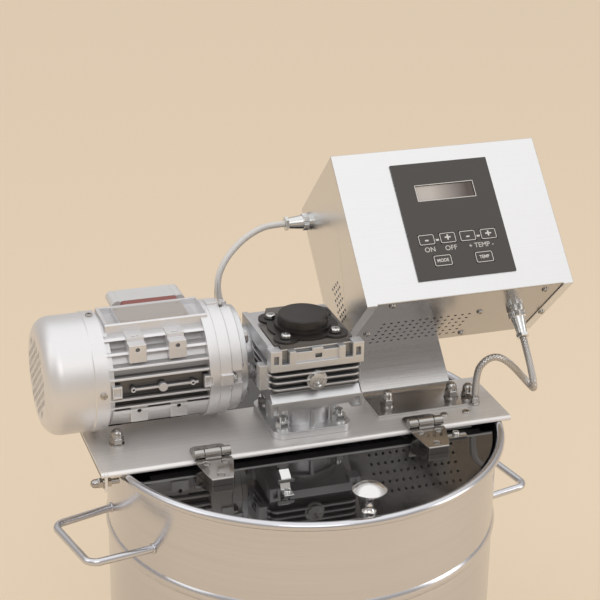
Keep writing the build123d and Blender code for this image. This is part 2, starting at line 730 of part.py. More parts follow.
with BuildPart() as plate_screws:
    with Locations(*[(x, y, plate_top + hinge_leaf_sheet) for x, y in hinge_screw_spots]):
        add(pan_screw(screw_r, screw_head_r, 2.0, hinge_leaf_sheet + plate_sheet + 2.0))
    with Locations(*[(x, y, plate_top) for x, y in rivet_xy]):
        add(pan_screw(rivet_r, 4.2, 2.2, plate_sheet + switch_box[2] + 1.0))
write(plate_screws, "plate_screws")

with BuildPart() as lid_screws:
    screw_below = lid_sheet + 3.0
    for x, y in leaf_screw_spots:
        rise = leaf_seat(y)
        with Locations((x, y, plate_top + rise)):
            add(round_bar(leaf_head_r, leaf_head))
            with Locations((0, 0, -rise - lid_drop - screw_below)):
                add(round_bar(screw_r, rise + lid_drop + screw_below))
    with Locations((clip_xy[0], clip_xy[1] - 5.0, lid_top + clip_sheet)):
        add(pan_screw(screw_r, screw_head_r - 0.4, 2.0, clip_sheet + screw_below))
    with Locations((*lid_tab_xy, lid_top + tab_sheet)):
        add(pan_screw(screw_r, screw_head_r, 3.0, tab_sheet + screw_below))
    with Locations((*knob_xy, lid_under)):
        add(round_bar(screw_r, lid_sheet + 10.0))
        with Locations((0, 0, -3.0)):
            add(round_bar(screw_head_r + 1, 3.0))
write(lid_screws, "lid_screws")

# Gearbox casting: wheel chamber on the upright axis, worm tunnel across its back
gear_room = 3.0
wheel_pitch_r = wheel_teeth * gear_module / 2
worm_pitch_r = worm_centre - wheel_pitch_r
wheel_chamber_r = wheel_pitch_r + gear_module + gear_room + 1.0
wheel_chamber_half = wheel_half_face + gear_room + 1.0
worm_chamber_r = worm_pitch_r + gear_module + gear_room
worm_chamber_half = 31.0
fin_rows_front = (9.0, 1.5, -6.0)
fin_sheet = 2.2
fin_reach = 8.0
gear_wall = gear_front - fin_reach
gear_side = gear_half_width - 5.0
gear_back = gear_front + 9.0
band_low = 14.6
notch_floor = 22.0
ear_inner = gear_half_width - 12.0
post_outer = ear_inner - 8.0
post_inner = post_outer - 7.0
shelf_drop = 13.0
shelf_front_drop = 20.5
shelf_bottom = 30.0
boss_grow = 1.0
cap_clear = 0.15
cap_lip = 4.0
side_bar = 3.8


def cap_outline(grow):
    """A round plate with four screw lobes, grown all round by the given amount."""
    with BuildSketch() as outline:
        Circle(cap_plate_r + grow)
        for turn in (45.0, -45.0):
            SlotCenterToCenter(
                2 * sqrt(2) * cap_screw_half, 2 * (cap_lobe_r + grow), rotation=turn)
    return outline.sketch


with BuildPart() as gearbox_housing:
    with Locations((0, -gear_wall, gear_z - shelf_bottom)):
        Box(2 * gear_side, gear_wall + gear_back, shelf_bottom + gear_half_height,
            align=(Align.CENTER, Align.MIN, Align.MIN))
    fillet(gearbox_housing.edges().filter_by(Axis.Z), 4.0)
    with Locations((0, 0, gear_bottom)):
        add(round_bar(gear_flange_r, gear_z - gear_bottom))
    with BuildSketch(Plane.XY.offset(gear_top)):
        add(cap_outline(boss_grow))
    extrude(amount=-gear_flange_half_height)
    with Locations((-gear_half_width + 1.0, -gear_wall + 4.0, gear_z + notch_floor)):
        Box(side_bar + 2.0, gear_wall + gear_back - 8.0, gear_flange_half_height - notch_floor,
            align=(Align.MIN, Align.MIN, Align.MIN))
    with Locations((-gear_half_width - 8.0, -gear_wall + 4.0, gear_z - 9.0)):
        Box(16.0, 12.0, 27.0, align=(Align.MIN, Align.MIN, Align.MIN))
    with Locations(along_x(-gear_half_width)):
        add(round_bar(worm_tunnel_r, 2 * gear_half_width))
    for row in fin_rows_front + (band_low + fin_sheet / 2,):
        with BuildSketch(Plane.XY.offset(gear_z + row - fin_sheet / 2)):
            with Locations((0, -gear_wall)):
                SlotOverall(2 * gear_half_width - 4, 2 * fin_reach)
            for side in (-1, 1):
                with Locations((side * gear_side, -gear_wall / 2 + 6.0)):
                    SlotOverall(gear_wall + 18.0, 2 * (gear_half_width - gear_side), rotation=90)
        extrude(amount=fin_sheet)
    with Locations((0, -gear_front, gear_z + band_low)):
        Box(2 * gear_half_width - 4, fin_reach + 2, notch_floor - band_low,
            align=(Align.CENTER, Align.MIN, Align.MIN))
        with Locations((0, 3.0, 0)):
            Box(2 * post_inner, fin_reach, 18.0, align=(Align.CENTER, Align.MIN, Align.MIN))
        with Locations((1.0, 3.0, 18.0)):
            Box(12.0, 5.0, 3.0, align=(Align.CENTER, Align.MIN, Align.MIN))
        for side in (-1, 1):
            with Locations((side * (post_inner + post_outer) / 2, 0, 0)):
                Box(post_outer - post_inner, fin_reach + 2, gear_half_height - band_low,
                    align=(Align.CENTER, Align.MIN, Align.MIN))
            with Locations((side * (ear_inner + gear_half_width) / 2, 0, 0)):
                Box(gear_half_width - ear_inner, fin_reach + 6, gear_half_height + 2.0 - band_low,
                    align=(Align.CENTER, Align.MIN, Align.MIN))
    with BuildSketch(Plane(origin=(-gear_half_width + 2, 0, gear_z), x_dir=(0, 1, 0), z_dir=(1, 0, 0))):
        with BuildLine():
            Polyline(
                (-gear_wall + 2, -shelf_drop), (-gear_wall, -shelf_drop), (-gear_front, -shelf_front_drop),
                (-gear_front, -shelf_bottom), (-gear_wall + 2, -shelf_bottom), close=True)
        make_face()
    extrude(amount=2 * gear_half_width - 4)
    for side in (-1, 1):
        with Locations((side * (ear_inner + gear_half_width) / 2, -gear_front, gear_z - shelf_front_drop)):
            Box(gear_half_width - ear_inner, fin_reach + 6, gear_half_height - shelf_front_drop,
                align=(Align.CENTER, Align.MIN, Align.MAX))
    with Locations(Location((0, -gear_wall + 1, gear_z), (90, 0, 0))):
        add(round_bar(11.0, fin_reach))
    for side in (-1, 1):
        ear_x = side * (ear_inner + gear_half_width) / 2
        with Locations((ear_x, -gear_front, gear_z + 27.5), (ear_x, -gear_front, gear_z - 28.5)):
            Box(5.0, 9.0, 9.0, mode=Mode.SUBTRACT)
    with Locations((2.0, -gear_front, gear_z + 27.0)):
        Box(7.0, 14.0, 4.4, mode=Mode.SUBTRACT)
    with Locations((0, 0, gear_z)):
        Cylinder(wheel_chamber_r, 2 * wheel_chamber_half, mode=Mode.SUBTRACT)
        Cylinder(
            output_bearing_r, 2 * (wheel_chamber_half + output_bearing_width), mode=Mode.SUBTRACT)
        Cylinder(output_bearing_r - 5, 4 * gear_half_height, mode=Mode.SUBTRACT)
    with Locations(along_x(0)):
        Cylinder(worm_chamber_r, 2 * worm_chamber_half, mode=Mode.SUBTRACT)
        Cylinder(worm_bearing_r - 4, 4 * gear_half_width, mode=Mode.SUBTRACT)
    for x in (-gear_half_width, worm_chamber_half):
        with Locations(along_x(x)):
            Cylinder(
                worm_bearing_r, gear_half_width - worm_chamber_half,
                align=(Align.CENTER, Align.CENTER, Align.MIN), mode=Mode.SUBTRACT)
    with Locations(Location((0, -gear_front, gear_z), (90, 0, 0))):
        Cylinder(6.0, 16.0, mode=Mode.SUBTRACT)
    with GridLocations(2 * cap_screw_half, 2 * cap_screw_half, 2, 2):
        with Locations((0, 0, gear_top)):
            Cylinder(3.0, 24.0, mode=Mode.SUBTRACT)
write(gearbox_housing, "gearbox_housing")

with BuildPart() as output_flange:
    with Locations((0, 0, plate_top)):
        Box(2 * output_flange_half, 2 * output_flange_half, output_flange_sheet,
            align=(Align.CENTER, Align.CENTER, Align.MIN))
    fillet(output_flange.edges().filter_by(Axis.Z), 12.0)
    with Locations((0, 0, plate_top)):
        add(round_bar(33.0, gear_bottom - plate_top))
        for turn in range(8):
            with Locations(Location((0, 0, 0), (0, 0, 45.0 * turn))):
                Box(39.0, 4.0, gear_bottom - plate_top, align=(Align.MIN, Align.CENTER, Align.MIN))
    with Locations((0, 0, plate_top)):
        Cylinder(hollow_shaft_r + 4, 4 * gear_axis_rise, mode=Mode.SUBTRACT)
    with GridLocations(2 * flange_stud_half, 2 * flange_stud_half, 2, 2):
        with Locations((0, 0, plate_top + output_flange_sheet)):
            Cylinder(
                9.5, gear_bottom - plate_top,
                align=(Align.CENTER, Align.CENTER, Align.MIN), mode=Mode.SUBTRACT)
        with Locations((0, 0, plate_top)):
            Cylinder(bolt_r + bolt_clear, 4 * output_flange_sheet, mode=Mode.SUBTRACT)
write(output_flange, "output_flange")

cap_base = 2.6

with BuildPart() as top_cap:
    with BuildSketch(Plane.XY.offset(gear_top)):
        add(cap_outline(cap_lip))
    extrude(amount=cap_base)
    cap_side = gear_side - 3.0
    cap_front = gear_front - fin_reach - 1.2
    cap_step = gear_front - fin_reach - 6.6
    cap_front_half = ear_inner - 1.0
    with BuildSketch(Plane.XY.offset(gear_z + gear_half_height)):
        with BuildLine():
            Polyline(
                (-cap_side, -cap_step), (-cap_front_half, -cap_step), (-cap_front_half, -cap_front),
                (cap_front_half, -cap_front), (cap_front_half, -cap_step), (cap_side, -cap_step),
                (cap_side, gear_back - 18.0),
                (cap_side - 18.0, gear_back - 1.5), (-cap_side + 20.0, gear_back - 1.5),
                (-cap_side, 10.0), close=True)
        make_face()
        add(cap_outline(boss_grow + cap_clear), mode=Mode.SUBTRACT)
    extrude(amount=gear_flange_half_height - gear_half_height)
    cap_height = plate_top + cap_rise - gear_top
    with Locations((0, 0, gear_top)):
        add(round_bar(cap_step_r, cap_base + 3.4))
        add(round_bar(cap_r, cap_height))
        fillet(top_cap.faces().sort_by(Axis.Z)[-1].edges(), 2.2)
        with GridLocations(2 * cap_screw_half, 2 * cap_screw_half, 2, 2):
            add(round_bar(6.6, cap_base + 1.2))
    with Locations((0, 0, gear_top)):
        Cylinder(
            cap_r - 3, cap_height - 3,
            align=(Align.CENTER, Align.CENTER, Align.MIN), mode=Mode.SUBTRACT)
    with GridLocations(2 * cap_screw_half, 2 * cap_screw_half, 2, 2):
        with Locations((0, 0, gear_top)):
            Cylinder(3.0, 24.0, mode=Mode.SUBTRACT)
write(top_cap, "top_cap")

with BuildPart() as gearbox_screws:
    with GridLocations(2 * cap_screw_half, 2 * cap_screw_half, 2, 2):
        with Locations((0, 0, gear_top + cap_base + 1.2)):
            add(pan_screw(3.0, 5.2, 3.2, 12.0))
    with GridLocations(2 * flange_stud_half, 2 * flange_stud_half, 2, 2):
        with Locations((0, 0, plate_top + output_flange_sheet)):
            add(round_bar(7.6, 1.6))
            with Locations((0, 0, 1.6)):
                add(hex_bar(13.0, 6.8))
            with Locations((0, 0, -output_flange_sheet - plate_sheet - 6.5)):
                add(round_bar(bolt_r, output_flange_sheet + plate_sheet + 6.5 + 14.0))
                add(hex_bar(13.0, 6.5))
write(gearbox_screws, "gearbox_screws")

with BuildPart() as housing_plugs:
    with Locations(Location((0, -gear_front + 4, gear_z), (90, 0, 0))):
        add(round_bar(6.0, 4.0))
        with Locations((0, 0, 4.0)):
            add(round_bar(8.6, 2.6))
    with Locations(Location((0, -gear_front - 2.6, gear_z), (90, 0, 0))):
        Cylinder(6.2, 3.0, mode=Mode.SUBTRACT)
        Cylinder(3.4, 7.0, mode=Mode.SUBTRACT)
    with Locations(along_x(gear_half_width - 6.0)):
        add(round_bar(worm_bearing_r, 4.5))
write(housing_plugs, "housing_plugs")

with BuildPart() as hollow_shaft:
    with Locations((0, 0, gear_bottom - 6.0)):
        add(ring(hollow_shaft_r, stirrer_shaft_r, gear_top - gear_bottom + 6.0))
    chamfer(hollow_shaft.edges().filter_by(GeomType.CIRCLE), 0.6)
write(hollow_shaft, "hollow_shaft")

# Worm wheel: slots cut at the worm's lead angle, one tooth pointing at the worm
wheel_tip_r = wheel_pitch_r + gear_module
wheel_root_r = wheel_pitch_r - 1.3 * gear_module
axial_pitch = pi * gear_module
lead_angle = atan2(axial_pitch, 2 * pi * worm_pitch_r)
flank = tan(radians(20))
slot_width = axial_pitch - wheel_tooth_width

with BuildPart() as tooth_slot:
    with BuildSketch(Plane.XZ):
        with BuildLine():
            low = slot_width / 2 - (wheel_pitch_r - wheel_root_r) * flank
            high = slot_width / 2 + 2 * gear_module * flank
            Polyline(
                (-low, wheel_root_r - wheel_pitch_r), (low, wheel_root_r - wheel_pitch_r),
                (high, 2 * gear_module), (-high, 2 * gear_module), close=True)
        make_face()
    extrude(amount=2 * wheel_half_face, both=True)

with BuildPart() as worm_wheel:
    with Locations((0, 0, gear_z - wheel_half_face)):
        add(ring(wheel_tip_r, hollow_shaft_r, 2 * wheel_half_face))
    for tooth in range(wheel_teeth):
        turn = 360.0 * (tooth + 0.5) / wheel_teeth
        slot = tooth_slot.part.moved(Location((0, 0, 0), (-90, 0, 0)))
        slot = slot.moved(Location((0, 0, 0), (0, -lead_angle * 180 / pi, 0)))
        slot = slot.moved(Location((0, wheel_pitch_r, gear_z)))
        add(slot.moved(Location((0, 0, 0), (0, 0, turn))), mode=Mode.SUBTRACT)
write(worm_wheel, "worm_wheel")

# Worm: a right-hand thread between two journals, bored for the motor's shaft
worm_root_r = worm_pitch_r - 1.3 * gear_module
worm_thread_half = 17.0
worm_bore_depth = 30.0
thread_turns = 5
thread_length = thread_turns * axial_pitch

with BuildPart() as worm_thread:
    with BuildLine() as helix_line:
        Helix(axial_pitch, thread_length, worm_pitch_r)
    with BuildSketch(Plane.XZ):
        with BuildLine():
            inner = worm_thread_width / 2 + 1.6 * gear_module * flank
            outer = worm_thread_width / 2 - gear_module * flank
            Polyline(
                (worm_pitch_r - 1.6 * gear_module, -inner), (worm_pitch_r + gear_module, -outer),
                (worm_pitch_r + gear_module, outer), (worm_pitch_r - 1.6 * gear_module, inner), close=True)
        make_face()
    sweep(path=helix_line.line, is_frenet=True)

with BuildPart() as worm_local:
    Cylinder(worm_root_r, 2 * worm_chamber_half)
    with Locations((0, 0, worm_thread_half)):
        add(round_bar(worm_journal_r, worm_chamber_half + worm_bearing_width - worm_thread_half))
    with Locations((0, 0, -gear_half_width)):
        add(round_bar(worm_journal_r, gear_half_width - worm_thread_half))
    add(worm_thread.part.moved(Location((0, 0, -thread_length / 2), (0, 0, 180))))
    with Locations((0, 0, -gear_half_width)):
        Cylinder(
            motor_shaft_r, worm_bore_depth, align=(Align.CENTER, Align.CENTER, Align.MIN), mode=Mode.SUBTRACT)

with BuildPart() as worm_shaft:
    add(worm_local.part.moved(Location(motor_axis)))
write(worm_shaft, "worm_shaft")

# Input flange between the gearbox and the motor's face
with BuildPart() as input_flange:
    with Locations(along_x(motor_face)):
        add(ring(motor_flange_r, worm_bearing_r - 2, 7.0))
        with Locations((0, 0, 7.0)):
            add(ring(worm_tunnel_r, worm_bearing_r - 2, -gear_half_width - motor_face - 7.0))
        for turn in range(4):
            with Locations(Location((0, 0, 7.0), (0, 0, 90.0 * turn))):
                Box(6.0, 40.0, 6.0, align=(Align.CENTER, Align.MIN, Align.MIN))
        Cylinder(worm_bearing_r - 2, 60.0, mode=Mode.SUBTRACT)
write(input_flange, "input_flange")

# Motor frame: a finned tube with foot pads, a name plate pad and nut pockets at both ends
frame_length = frame_right - frame_left
fin_rows = (-19.5, -10.0, 12.6, 23.0, 36.0, 47.4)
frame_fin = 2.4
fin_r = frame_r - 3.0
saddle_low = 24.0
plate_bed_half = 24.5
end_ring = 6.0
end_ring_r = frame_r - 5.0
front_ring = 11.0
lug_in = 7.5
pocket_wall = 4.0
pad_x = (-177.5, -136.0)
pad_half = 9.0
pad_front = 51.0
pad_step_front = 41.0
pad_upper = (26.5, 45.5)
pad_lower = (-39.0, -21.0)
pad_step_top = 50.2
pad_hole_rises = (40.3, -27.0)
nameplate_size = (71.5, 36.5, 1.0)
nameplate_x = -152.5
nameplate_y = worm_centre - 3.2
nameplate_rise = frame_r - 2.0
terminal_width = 68.0
terminal_x = -135.5
terminal_rise = 41.0
terminal_back = worm_centre + frame_core_r + 5.0
frame_plane = Plane(origin=(frame_left, worm_centre, gear_z), x_dir=(0, 1, 0), z_dir=(1, 0, 0))

with BuildPart() as motor_frame:
    with BuildSketch(frame_plane):
        Circle(frame_core_r)
        with Locations(*[(0, row) for row in fin_rows]):
            Rectangle(2 * frame_r, frame_fin)
        Circle(fin_r, mode=Mode.INTERSECT)
    extrude(amount=frame_length)
    with BuildSketch(frame_plane.offset(4.0)):
        with Locations((0, -saddle_low)):
            Rectangle(2 * frame_r, frame_r, align=(Align.CENTER, Align.MAX))
        Circle(fin_r - 0.8, mode=Mode.INTERSECT)
    extrude(amount=frame_length - 8.0)
    with BuildSketch(frame_plane.offset(4.0)):
        with Locations((0, frame_bore_r - 4.0)):
            Rectangle(2 * plate_bed_half, nameplate_rise - frame_bore_r + 4.0, align=(Align.CENTER, Align.MIN))
    bed = extrude(amount=frame_length - 8.0)
    fillet(bed.edges().filter_by(Axis.X).group_by(Axis.Z)[-1], 2.0)
    with Locations(along_x(frame_left)):
        add(round_bar(end_ring_r, end_ring))
    with Locations(along_x(frame_right - front_ring)):
        add(round_bar(frame_r - 0.6, front_ring))
    plate_half = nameplate_size[0] / 2 + 1.0
    for low, high in ((frame_left + 8.0, nameplate_x - plate_half), (nameplate_x + plate_half, frame_right - 5.0)):
        with Locations(((low + high) / 2, worm_centre, gear_z + frame_core_r + 2.5)):
            Box(high - low, 2 * (plate_bed_half - pocket_wall), frame_r,
                align=(Align.CENTER, Align.CENTER, Align.MIN), mode=Mode.SUBTRACT)
    for x in pad_x:
        for low, high in (pad_upper, pad_lower):
            with Locations((x, worm_centre - pad_front, gear_z + low)):
                Box(2 * pad_half, pad_front - 25.0, high - low, align=(Align.CENTER, Align.MIN, Align.MIN))
        with Locations((x, worm_centre - pad_step_front, gear_z + pad_upper[0])):
            Box(2 * pad_half, pad_step_front - plate_bed_half + 1.0, pad_step_top - pad_upper[0],
                align=(Align.CENTER, Align.MIN, Align.MIN))
    lug_x = (frame_left + lug_in, frame_right - front_ring - 1.0)
    for x in lug_x:
        with Locations((x, worm_centre - frame_r + 1.0, gear_z)):
            Box(10.0, 16.0, 13.0, align=(Align.CENTER, Align.MIN, Align.CENTER))
    with Locations((frame_left + frame_length / 2, worm_centre - frame_r + 4.0, gear_z)):
        Box(70.0, 12.0, 2.4, align=(Align.CENTER, Align.MIN, Align.CENTER))
    for x, radius, reach in ((-154.0, 4.6, 1.5), (-184.5, 2.6, 3.0), (-122.5, 2.6, 3.0)):
        with Locations(Location((x, worm_centre - 46.0, gear_z), (90, 0, 0))):
            add(round_bar(radius, frame_r - 46.0 - reach))
    with Locations((terminal_x, terminal_back, gear_z)):
        Box(terminal_width, 12.0, 2 * terminal_rise, align=(Align.CENTER, Align.MAX, Align.CENTER))
        Box(terminal_width + 16, 20.0, 2 * terminal_rise,
            align=(Align.CENTER, Align.MIN, Align.CENTER), mode=Mode.SUBTRACT)
    with Locations(along_x(frame_left)):
        Cylinder(frame_bore_r, 4 * frame_length, mode=Mode.SUBTRACT)
    for x in pad_x:
        for rise in pad_hole_rises:
            with Locations(Location((x, worm_centre - pad_front, gear_z + rise), (90, 0, 0))):
                Cylinder(2.2, 20.0, mode=Mode.SUBTRACT)
        with Locations((x, worm_centre - pad_step_front + 4.0, gear_z + pad_step_top)):
            Box(7.0, 2.4, 5.0, mode=Mode.SUBTRACT)
    for x in (-184.5, -122.5):
        with Locations(Location((x, worm_centre - frame_r, gear_z), (90, 0, 0))):
            Cylinder(1.3, 20.0, mode=Mode.SUBTRACT)
    for x in lug_x:
        with Locations((x, worm_centre - frame_r, gear_z)):
            Box(7.0, 9.0, 8.0, mode=Mode.SUBTRACT)
write(motor_frame, "motor_frame")

with BuildPart() as nameplate:
    with Locations((nameplate_x, nameplate_y, gear_z + nameplate_rise)):
        Box(*nameplate_size, align=(Align.CENTER, Align.CENTER, Align.MIN))
        with GridLocations(nameplate_size[0] - 6, nameplate_size[1] - 6, 2, 2):
            add(round_bar(1.4, nameplate_size[2] + 0.5))
write(nameplate, "nameplate")

stack_left = -181.0
stack_right = -113.0
winding_overhang = 11.0

with BuildPart() as stator:
    with Locations(along_x(stack_left)):
        add(ring(frame_bore_r, rotor_core_r + air_gap, stack_right - stack_left))
    for x in (stack_left - winding_overhang, stack_right):
        with Locations(along_x(x)):
            add(ring(frame_bore_r - 4, rotor_core_r + 5, winding_overhang))
write(stator, "stator")

rear_bearing_x = frame_left - 7.0
front_bearing_x = shield_step - motor_bearing_width

with BuildPart() as rotor:
    with Locations(along_x(-257.0)):
        add(round_bar(rotor_shaft_r, front_bearing_x + motor_bearing_width + 257.0))
    with Locations(along_x(stack_left)):
        add(round_bar(rotor_core_r, stack_right - stack_left))
    with Locations(along_x(front_bearing_x)):
        add(round_bar(motor_shaft_r, worm_bore_depth - 1.0 - gear_half_width - front_bearing_x))
write(rotor, "rotor")

with BuildPart() as fan:
    with Locations(along_x(-254.0)):
        add(ring(16.0, rotor_shaft_r, 22.0))
        add(ring(fan_r, rotor_shaft_r, 2.0).moved(Location((0, 0, 20.0))))
        for blade in range(8):
            with Locations(Location((0, 0, 2.0), (0, 0, 45.0 * blade))):
                Box(fan_r - 13.0, 2.0, 19.0, align=(Align.MIN, Align.CENTER, Align.MIN))
    with Locations(along_x(-254.0)):
        Cylinder(rotor_shaft_r, 60.0, mode=Mode.SUBTRACT)
write(fan, "fan")

# Fan cover: a drawn cup with a slotted end
cover_open = frame_left
cover_screw_x = cover_open - 7.0
rear_shield_sheet = 12.0
cover_screw_r = 2.0
cover_band = 15.0
cover_band_rise = 0.7
cover_length = cover_open - fan_cover_end

with BuildPart() as fan_cover:
    with BuildSketch(Plane(origin=(fan_cover_end, worm_centre, gear_z), x_dir=(1, 0, 0), z_dir=(0, -1, 0))):
        with BuildLine():
            inside = fan_cover_round - fan_cover_sheet
            inner_r = frame_r - fan_cover_sheet
            Line((0, 0), (0, frame_r - fan_cover_round))
            RadiusArc((0, frame_r - fan_cover_round), (fan_cover_round, frame_r), fan_cover_round)
            Polyline(
                (fan_cover_round, frame_r), (cover_length - cover_band, frame_r),
                (cover_length - cover_band + 1.2, frame_r + cover_band_rise),
                (cover_length, frame_r + cover_band_rise), (cover_length, inner_r),
                (fan_cover_round, inner_r))
            RadiusArc((fan_cover_round, inner_r), (fan_cover_sheet, frame_r - fan_cover_round), -inside)
            Polyline((fan_cover_sheet, frame_r - fan_cover_round), (fan_cover_sheet, 0), (0, 0))
        make_face()
    revolve(axis=Axis((0, worm_centre, gear_z), (1, 0, 0)))
    with BuildSketch(motor_axis.offset(fan_cover_end - 1)):
        for column in range(-6, 7):
            for row in range(-4, 5):
                place = (6.4 * column, 9.6 * row + (4.8 if column % 2 else 0.0))
                if sqrt(place[0] ** 2 + place[1] ** 2) < 40.0:
                    with Locations(place):
                        SlotOverall(7.4, 3.2, rotation=90)
    extrude(amount=6.0, mode=Mode.SUBTRACT)
    for turn in range(4):
        with Locations(Location((0, worm_centre, gear_z), (90.0 * turn, 0, 0))):
            with Locations((cover_screw_x, 0, frame_r)):
                Cylinder(cover_screw_r, 8.0, mode=Mode.SUBTRACT)
write(fan_cover, "fan_cover")

with BuildPart() as rear_shield:
    with Locations(along_x(frame_left - rear_shield_sheet)):
        add(round_bar(frame_r - fan_cover_sheet - 0.1, rear_shield_sheet))
        with Locations((0, 0, rear_shield_sheet)):
            add(round_bar(frame_bore_r, 5.0))
    with Locations(along_x(rear_bearing_x)):
        Cylinder(
            motor_bearing_r, motor_bearing_width,
            align=(Align.CENTER, Align.CENTER, Align.MIN), mode=Mode.SUBTRACT)
        Cylinder(rotor_shaft_r + 2, 60.0, mode=Mode.SUBTRACT)
    for turn in range(4):
        with Locations(Location((0, worm_centre, gear_z), (90.0 * turn, 0, 0))):
            with Locations((cover_screw_x, 0, frame_r)):
                Cylinder(cover_screw_r, 16.0, mode=Mode.SUBTRACT)
write(rear_shield, "rear_shield")

with BuildPart() as front_shield:
    with Locations(along_x(frame_right)):
        add(round_bar(frame_r - 1.0, shield_step - frame_right))
        with Locations((0, 0, shield_step - frame_right)):
            add(round_bar(shield_face_r, motor_face - shield_step))
    step_edges = front_shield.edges().filter_by(GeomType.CIRCLE).group_by(Axis.X)[1]
    fillet(step_edges.sort_by(SortBy.RADIUS)[-1], 1.5)
    fillet(front_shield.faces().sort_by(Axis.X)[-1].edges(), 1.5)
    for turn in range(4):
        with Locations(Location((frame_right, worm_centre, gear_z), (90.0 * turn, 0, 0))):
            with Locations((6.0, -frame_r + 4.0, 0)):
                Box(12.0, 11.0, 12.0)
            with Locations((shield_step - frame_right - 2.0, -frame_r + 4.0, 0)):
                Box(4.0, 11.0, 12.0)
    for turn in range(4):
        with Locations(Location((shield_step, worm_centre, gear_z), (90.0 * turn, 0, 0))):
            with Locations((0, 0, motor_flange_r)):
                Box(motor_face - shield_step + 1.0, 13.0, frame_r - motor_flange_r + 8.0,
                    align=(Align.MIN, Align.CENTER, Align.MIN), mode=Mode.SUBTRACT)
    with Locations(along_x(front_bearing_x)):
        Cylinder(
            motor_bearing_r, motor_bearing_width,
            align=(Align.CENTER, Align.CENTER, Align.MIN), mode=Mode.SUBTRACT)
        Cylinder(rotor_shaft_r + 2, 80.0, mode=Mode.SUBTRACT)
    with Locations(along_x(frame_right - 1)):
        Cylinder(frame_bore_r - 8, 3.0, align=(Align.CENTER, Align.CENTER, Align.MIN), mode=Mode.SUBTRACT)
write(front_shield, "front_shield")

with BuildPart() as bearings:
    for z in (gear_z - wheel_chamber_half - output_bearing_width, gear_z + wheel_chamber_half):
        with Locations((0, 0, z)):
            add(ball_bearing(output_bearing_r, hollow_shaft_r + running_clear, output_bearing_width))
    for x in (-worm_chamber_half - worm_bearing_width, worm_chamber_half):
        with Locations(along_x(x)):
            add(ball_bearing(worm_bearing_r, worm_journal_r + running_clear, worm_bearing_width))
    for x in (rear_bearing_x, front_bearing_x):
        with Locations(along_x(x)):
            add(ball_bearing(motor_bearing_r, rotor_shaft_r + running_clear, motor_bearing_width))
write(bearings, "bearings")

# Terminal box on the motor's back, facing away from the lid, with its gland on the gearbox side
gasket_depth = 21.0
terminal_depth = 21.0
terminal_lid_depth = 11.0
terminal_post_r = 6.5
gland_rise = -31.0
gland_y = terminal_back + gasket_depth + 8.0
gland_r = 9.0
gland_root_x = terminal_x + terminal_width / 2 - 3
gland_tip_x = -86.0
terminal_plane = Plane(origin=(terminal_x, terminal_back, gear_z), x_dir=(1, 0, 0), z_dir=(0, 1, 0))
post_spread = (terminal_width, 2 * (terminal_rise - terminal_post_r))

with BuildPart() as terminal_gasket:
    with BuildSketch(terminal_plane):
        RectangleRounded(terminal_width - 6, 2 * terminal_rise, 4.0)
        RectangleRounded(terminal_width - 22, 2 * terminal_rise - 16, 4.0, mode=Mode.SUBTRACT)
    extrude(amount=gasket_depth)
write(terminal_gasket, "terminal_gasket")

with BuildPart() as terminal_box:
    with BuildSketch(terminal_plane.offset(gasket_depth)):
        RectangleRounded(terminal_width, 2 * terminal_rise, 6.0)
        with GridLocations(*post_spread, 2, 2):
            Circle(terminal_post_r)
    extrude(amount=terminal_depth)
    with BuildSketch(terminal_plane.offset(gasket_depth + 3)):
        RectangleRounded(terminal_width - 12, 2 * terminal_rise - 12, 5.0)
    extrude(amount=terminal_depth, mode=Mode.SUBTRACT)
    with Locations(along_x(gland_root_x, gland_y, gear_z + gland_rise)):
        add(hex_bar(19.0, 12.0))
        with Locations((0, 0, 12.0)):
            add(round_bar(gland_r, gland_tip_x - gland_root_x - 13.0))
    with Locations(along_x(gland_root_x, gland_y, gear_z + gland_rise)):
        Cylinder(motor_lead_r, 60.0, mode=Mode.SUBTRACT)
write(terminal_box, "terminal_box")

with BuildPart() as terminal_lid:
    with BuildSketch(terminal_plane.offset(gasket_depth + terminal_depth)):
        RectangleRounded(terminal_width, 2 * terminal_rise, 6.0)
        with GridLocations(*post_spread, 2, 2):
            Circle(terminal_post_r)
    extrude(amount=terminal_lid_depth)
    fillet(terminal_lid.faces().sort_by(Axis.Y)[-1].edges(), 2.0)
    with BuildSketch(terminal_plane.offset(gasket_depth + terminal_depth)):
        RectangleRounded(terminal_width - 12, 2 * terminal_rise - 12, 5.0)
    extrude(amount=terminal_lid_depth - 3, mode=Mode.SUBTRACT)
write(terminal_lid, "terminal_lid")

flange_bolt_ring = 42.5

with BuildPart() as motor_screws:
    for turn in range(4):
        with Locations(Location((0, worm_centre, gear_z), (45.0 + 90.0 * turn, 0, 0))):
            with Locations(Location((motor_face + 7.0, 0, flange_bolt_ring), (0, 90, 0))):
                add(hex_bar(10.0, 5.0))
        with Locations(Location((0, worm_centre, gear_z), (90.0 * turn, 0, 0))):
            with Locations((cover_screw_x, 0, frame_r + cover_band_rise)):
                add(pan_screw(cover_screw_r, 3.8, 2.0, fan_cover_sheet + 4.0))
            with Locations(Location((shield_step, 0, frame_r - 4.0), (0, 90, 0))):
                add(hex_bar(8.0, 5.0))
write(motor_screws, "motor_screws")

# Control box: a folded cover, an inner tray closing its back and underside, and the panel
tray_sheet = box_sheet
tray_clear = box_sheet + box_gap
flange_screw = (227.0, -79.5)

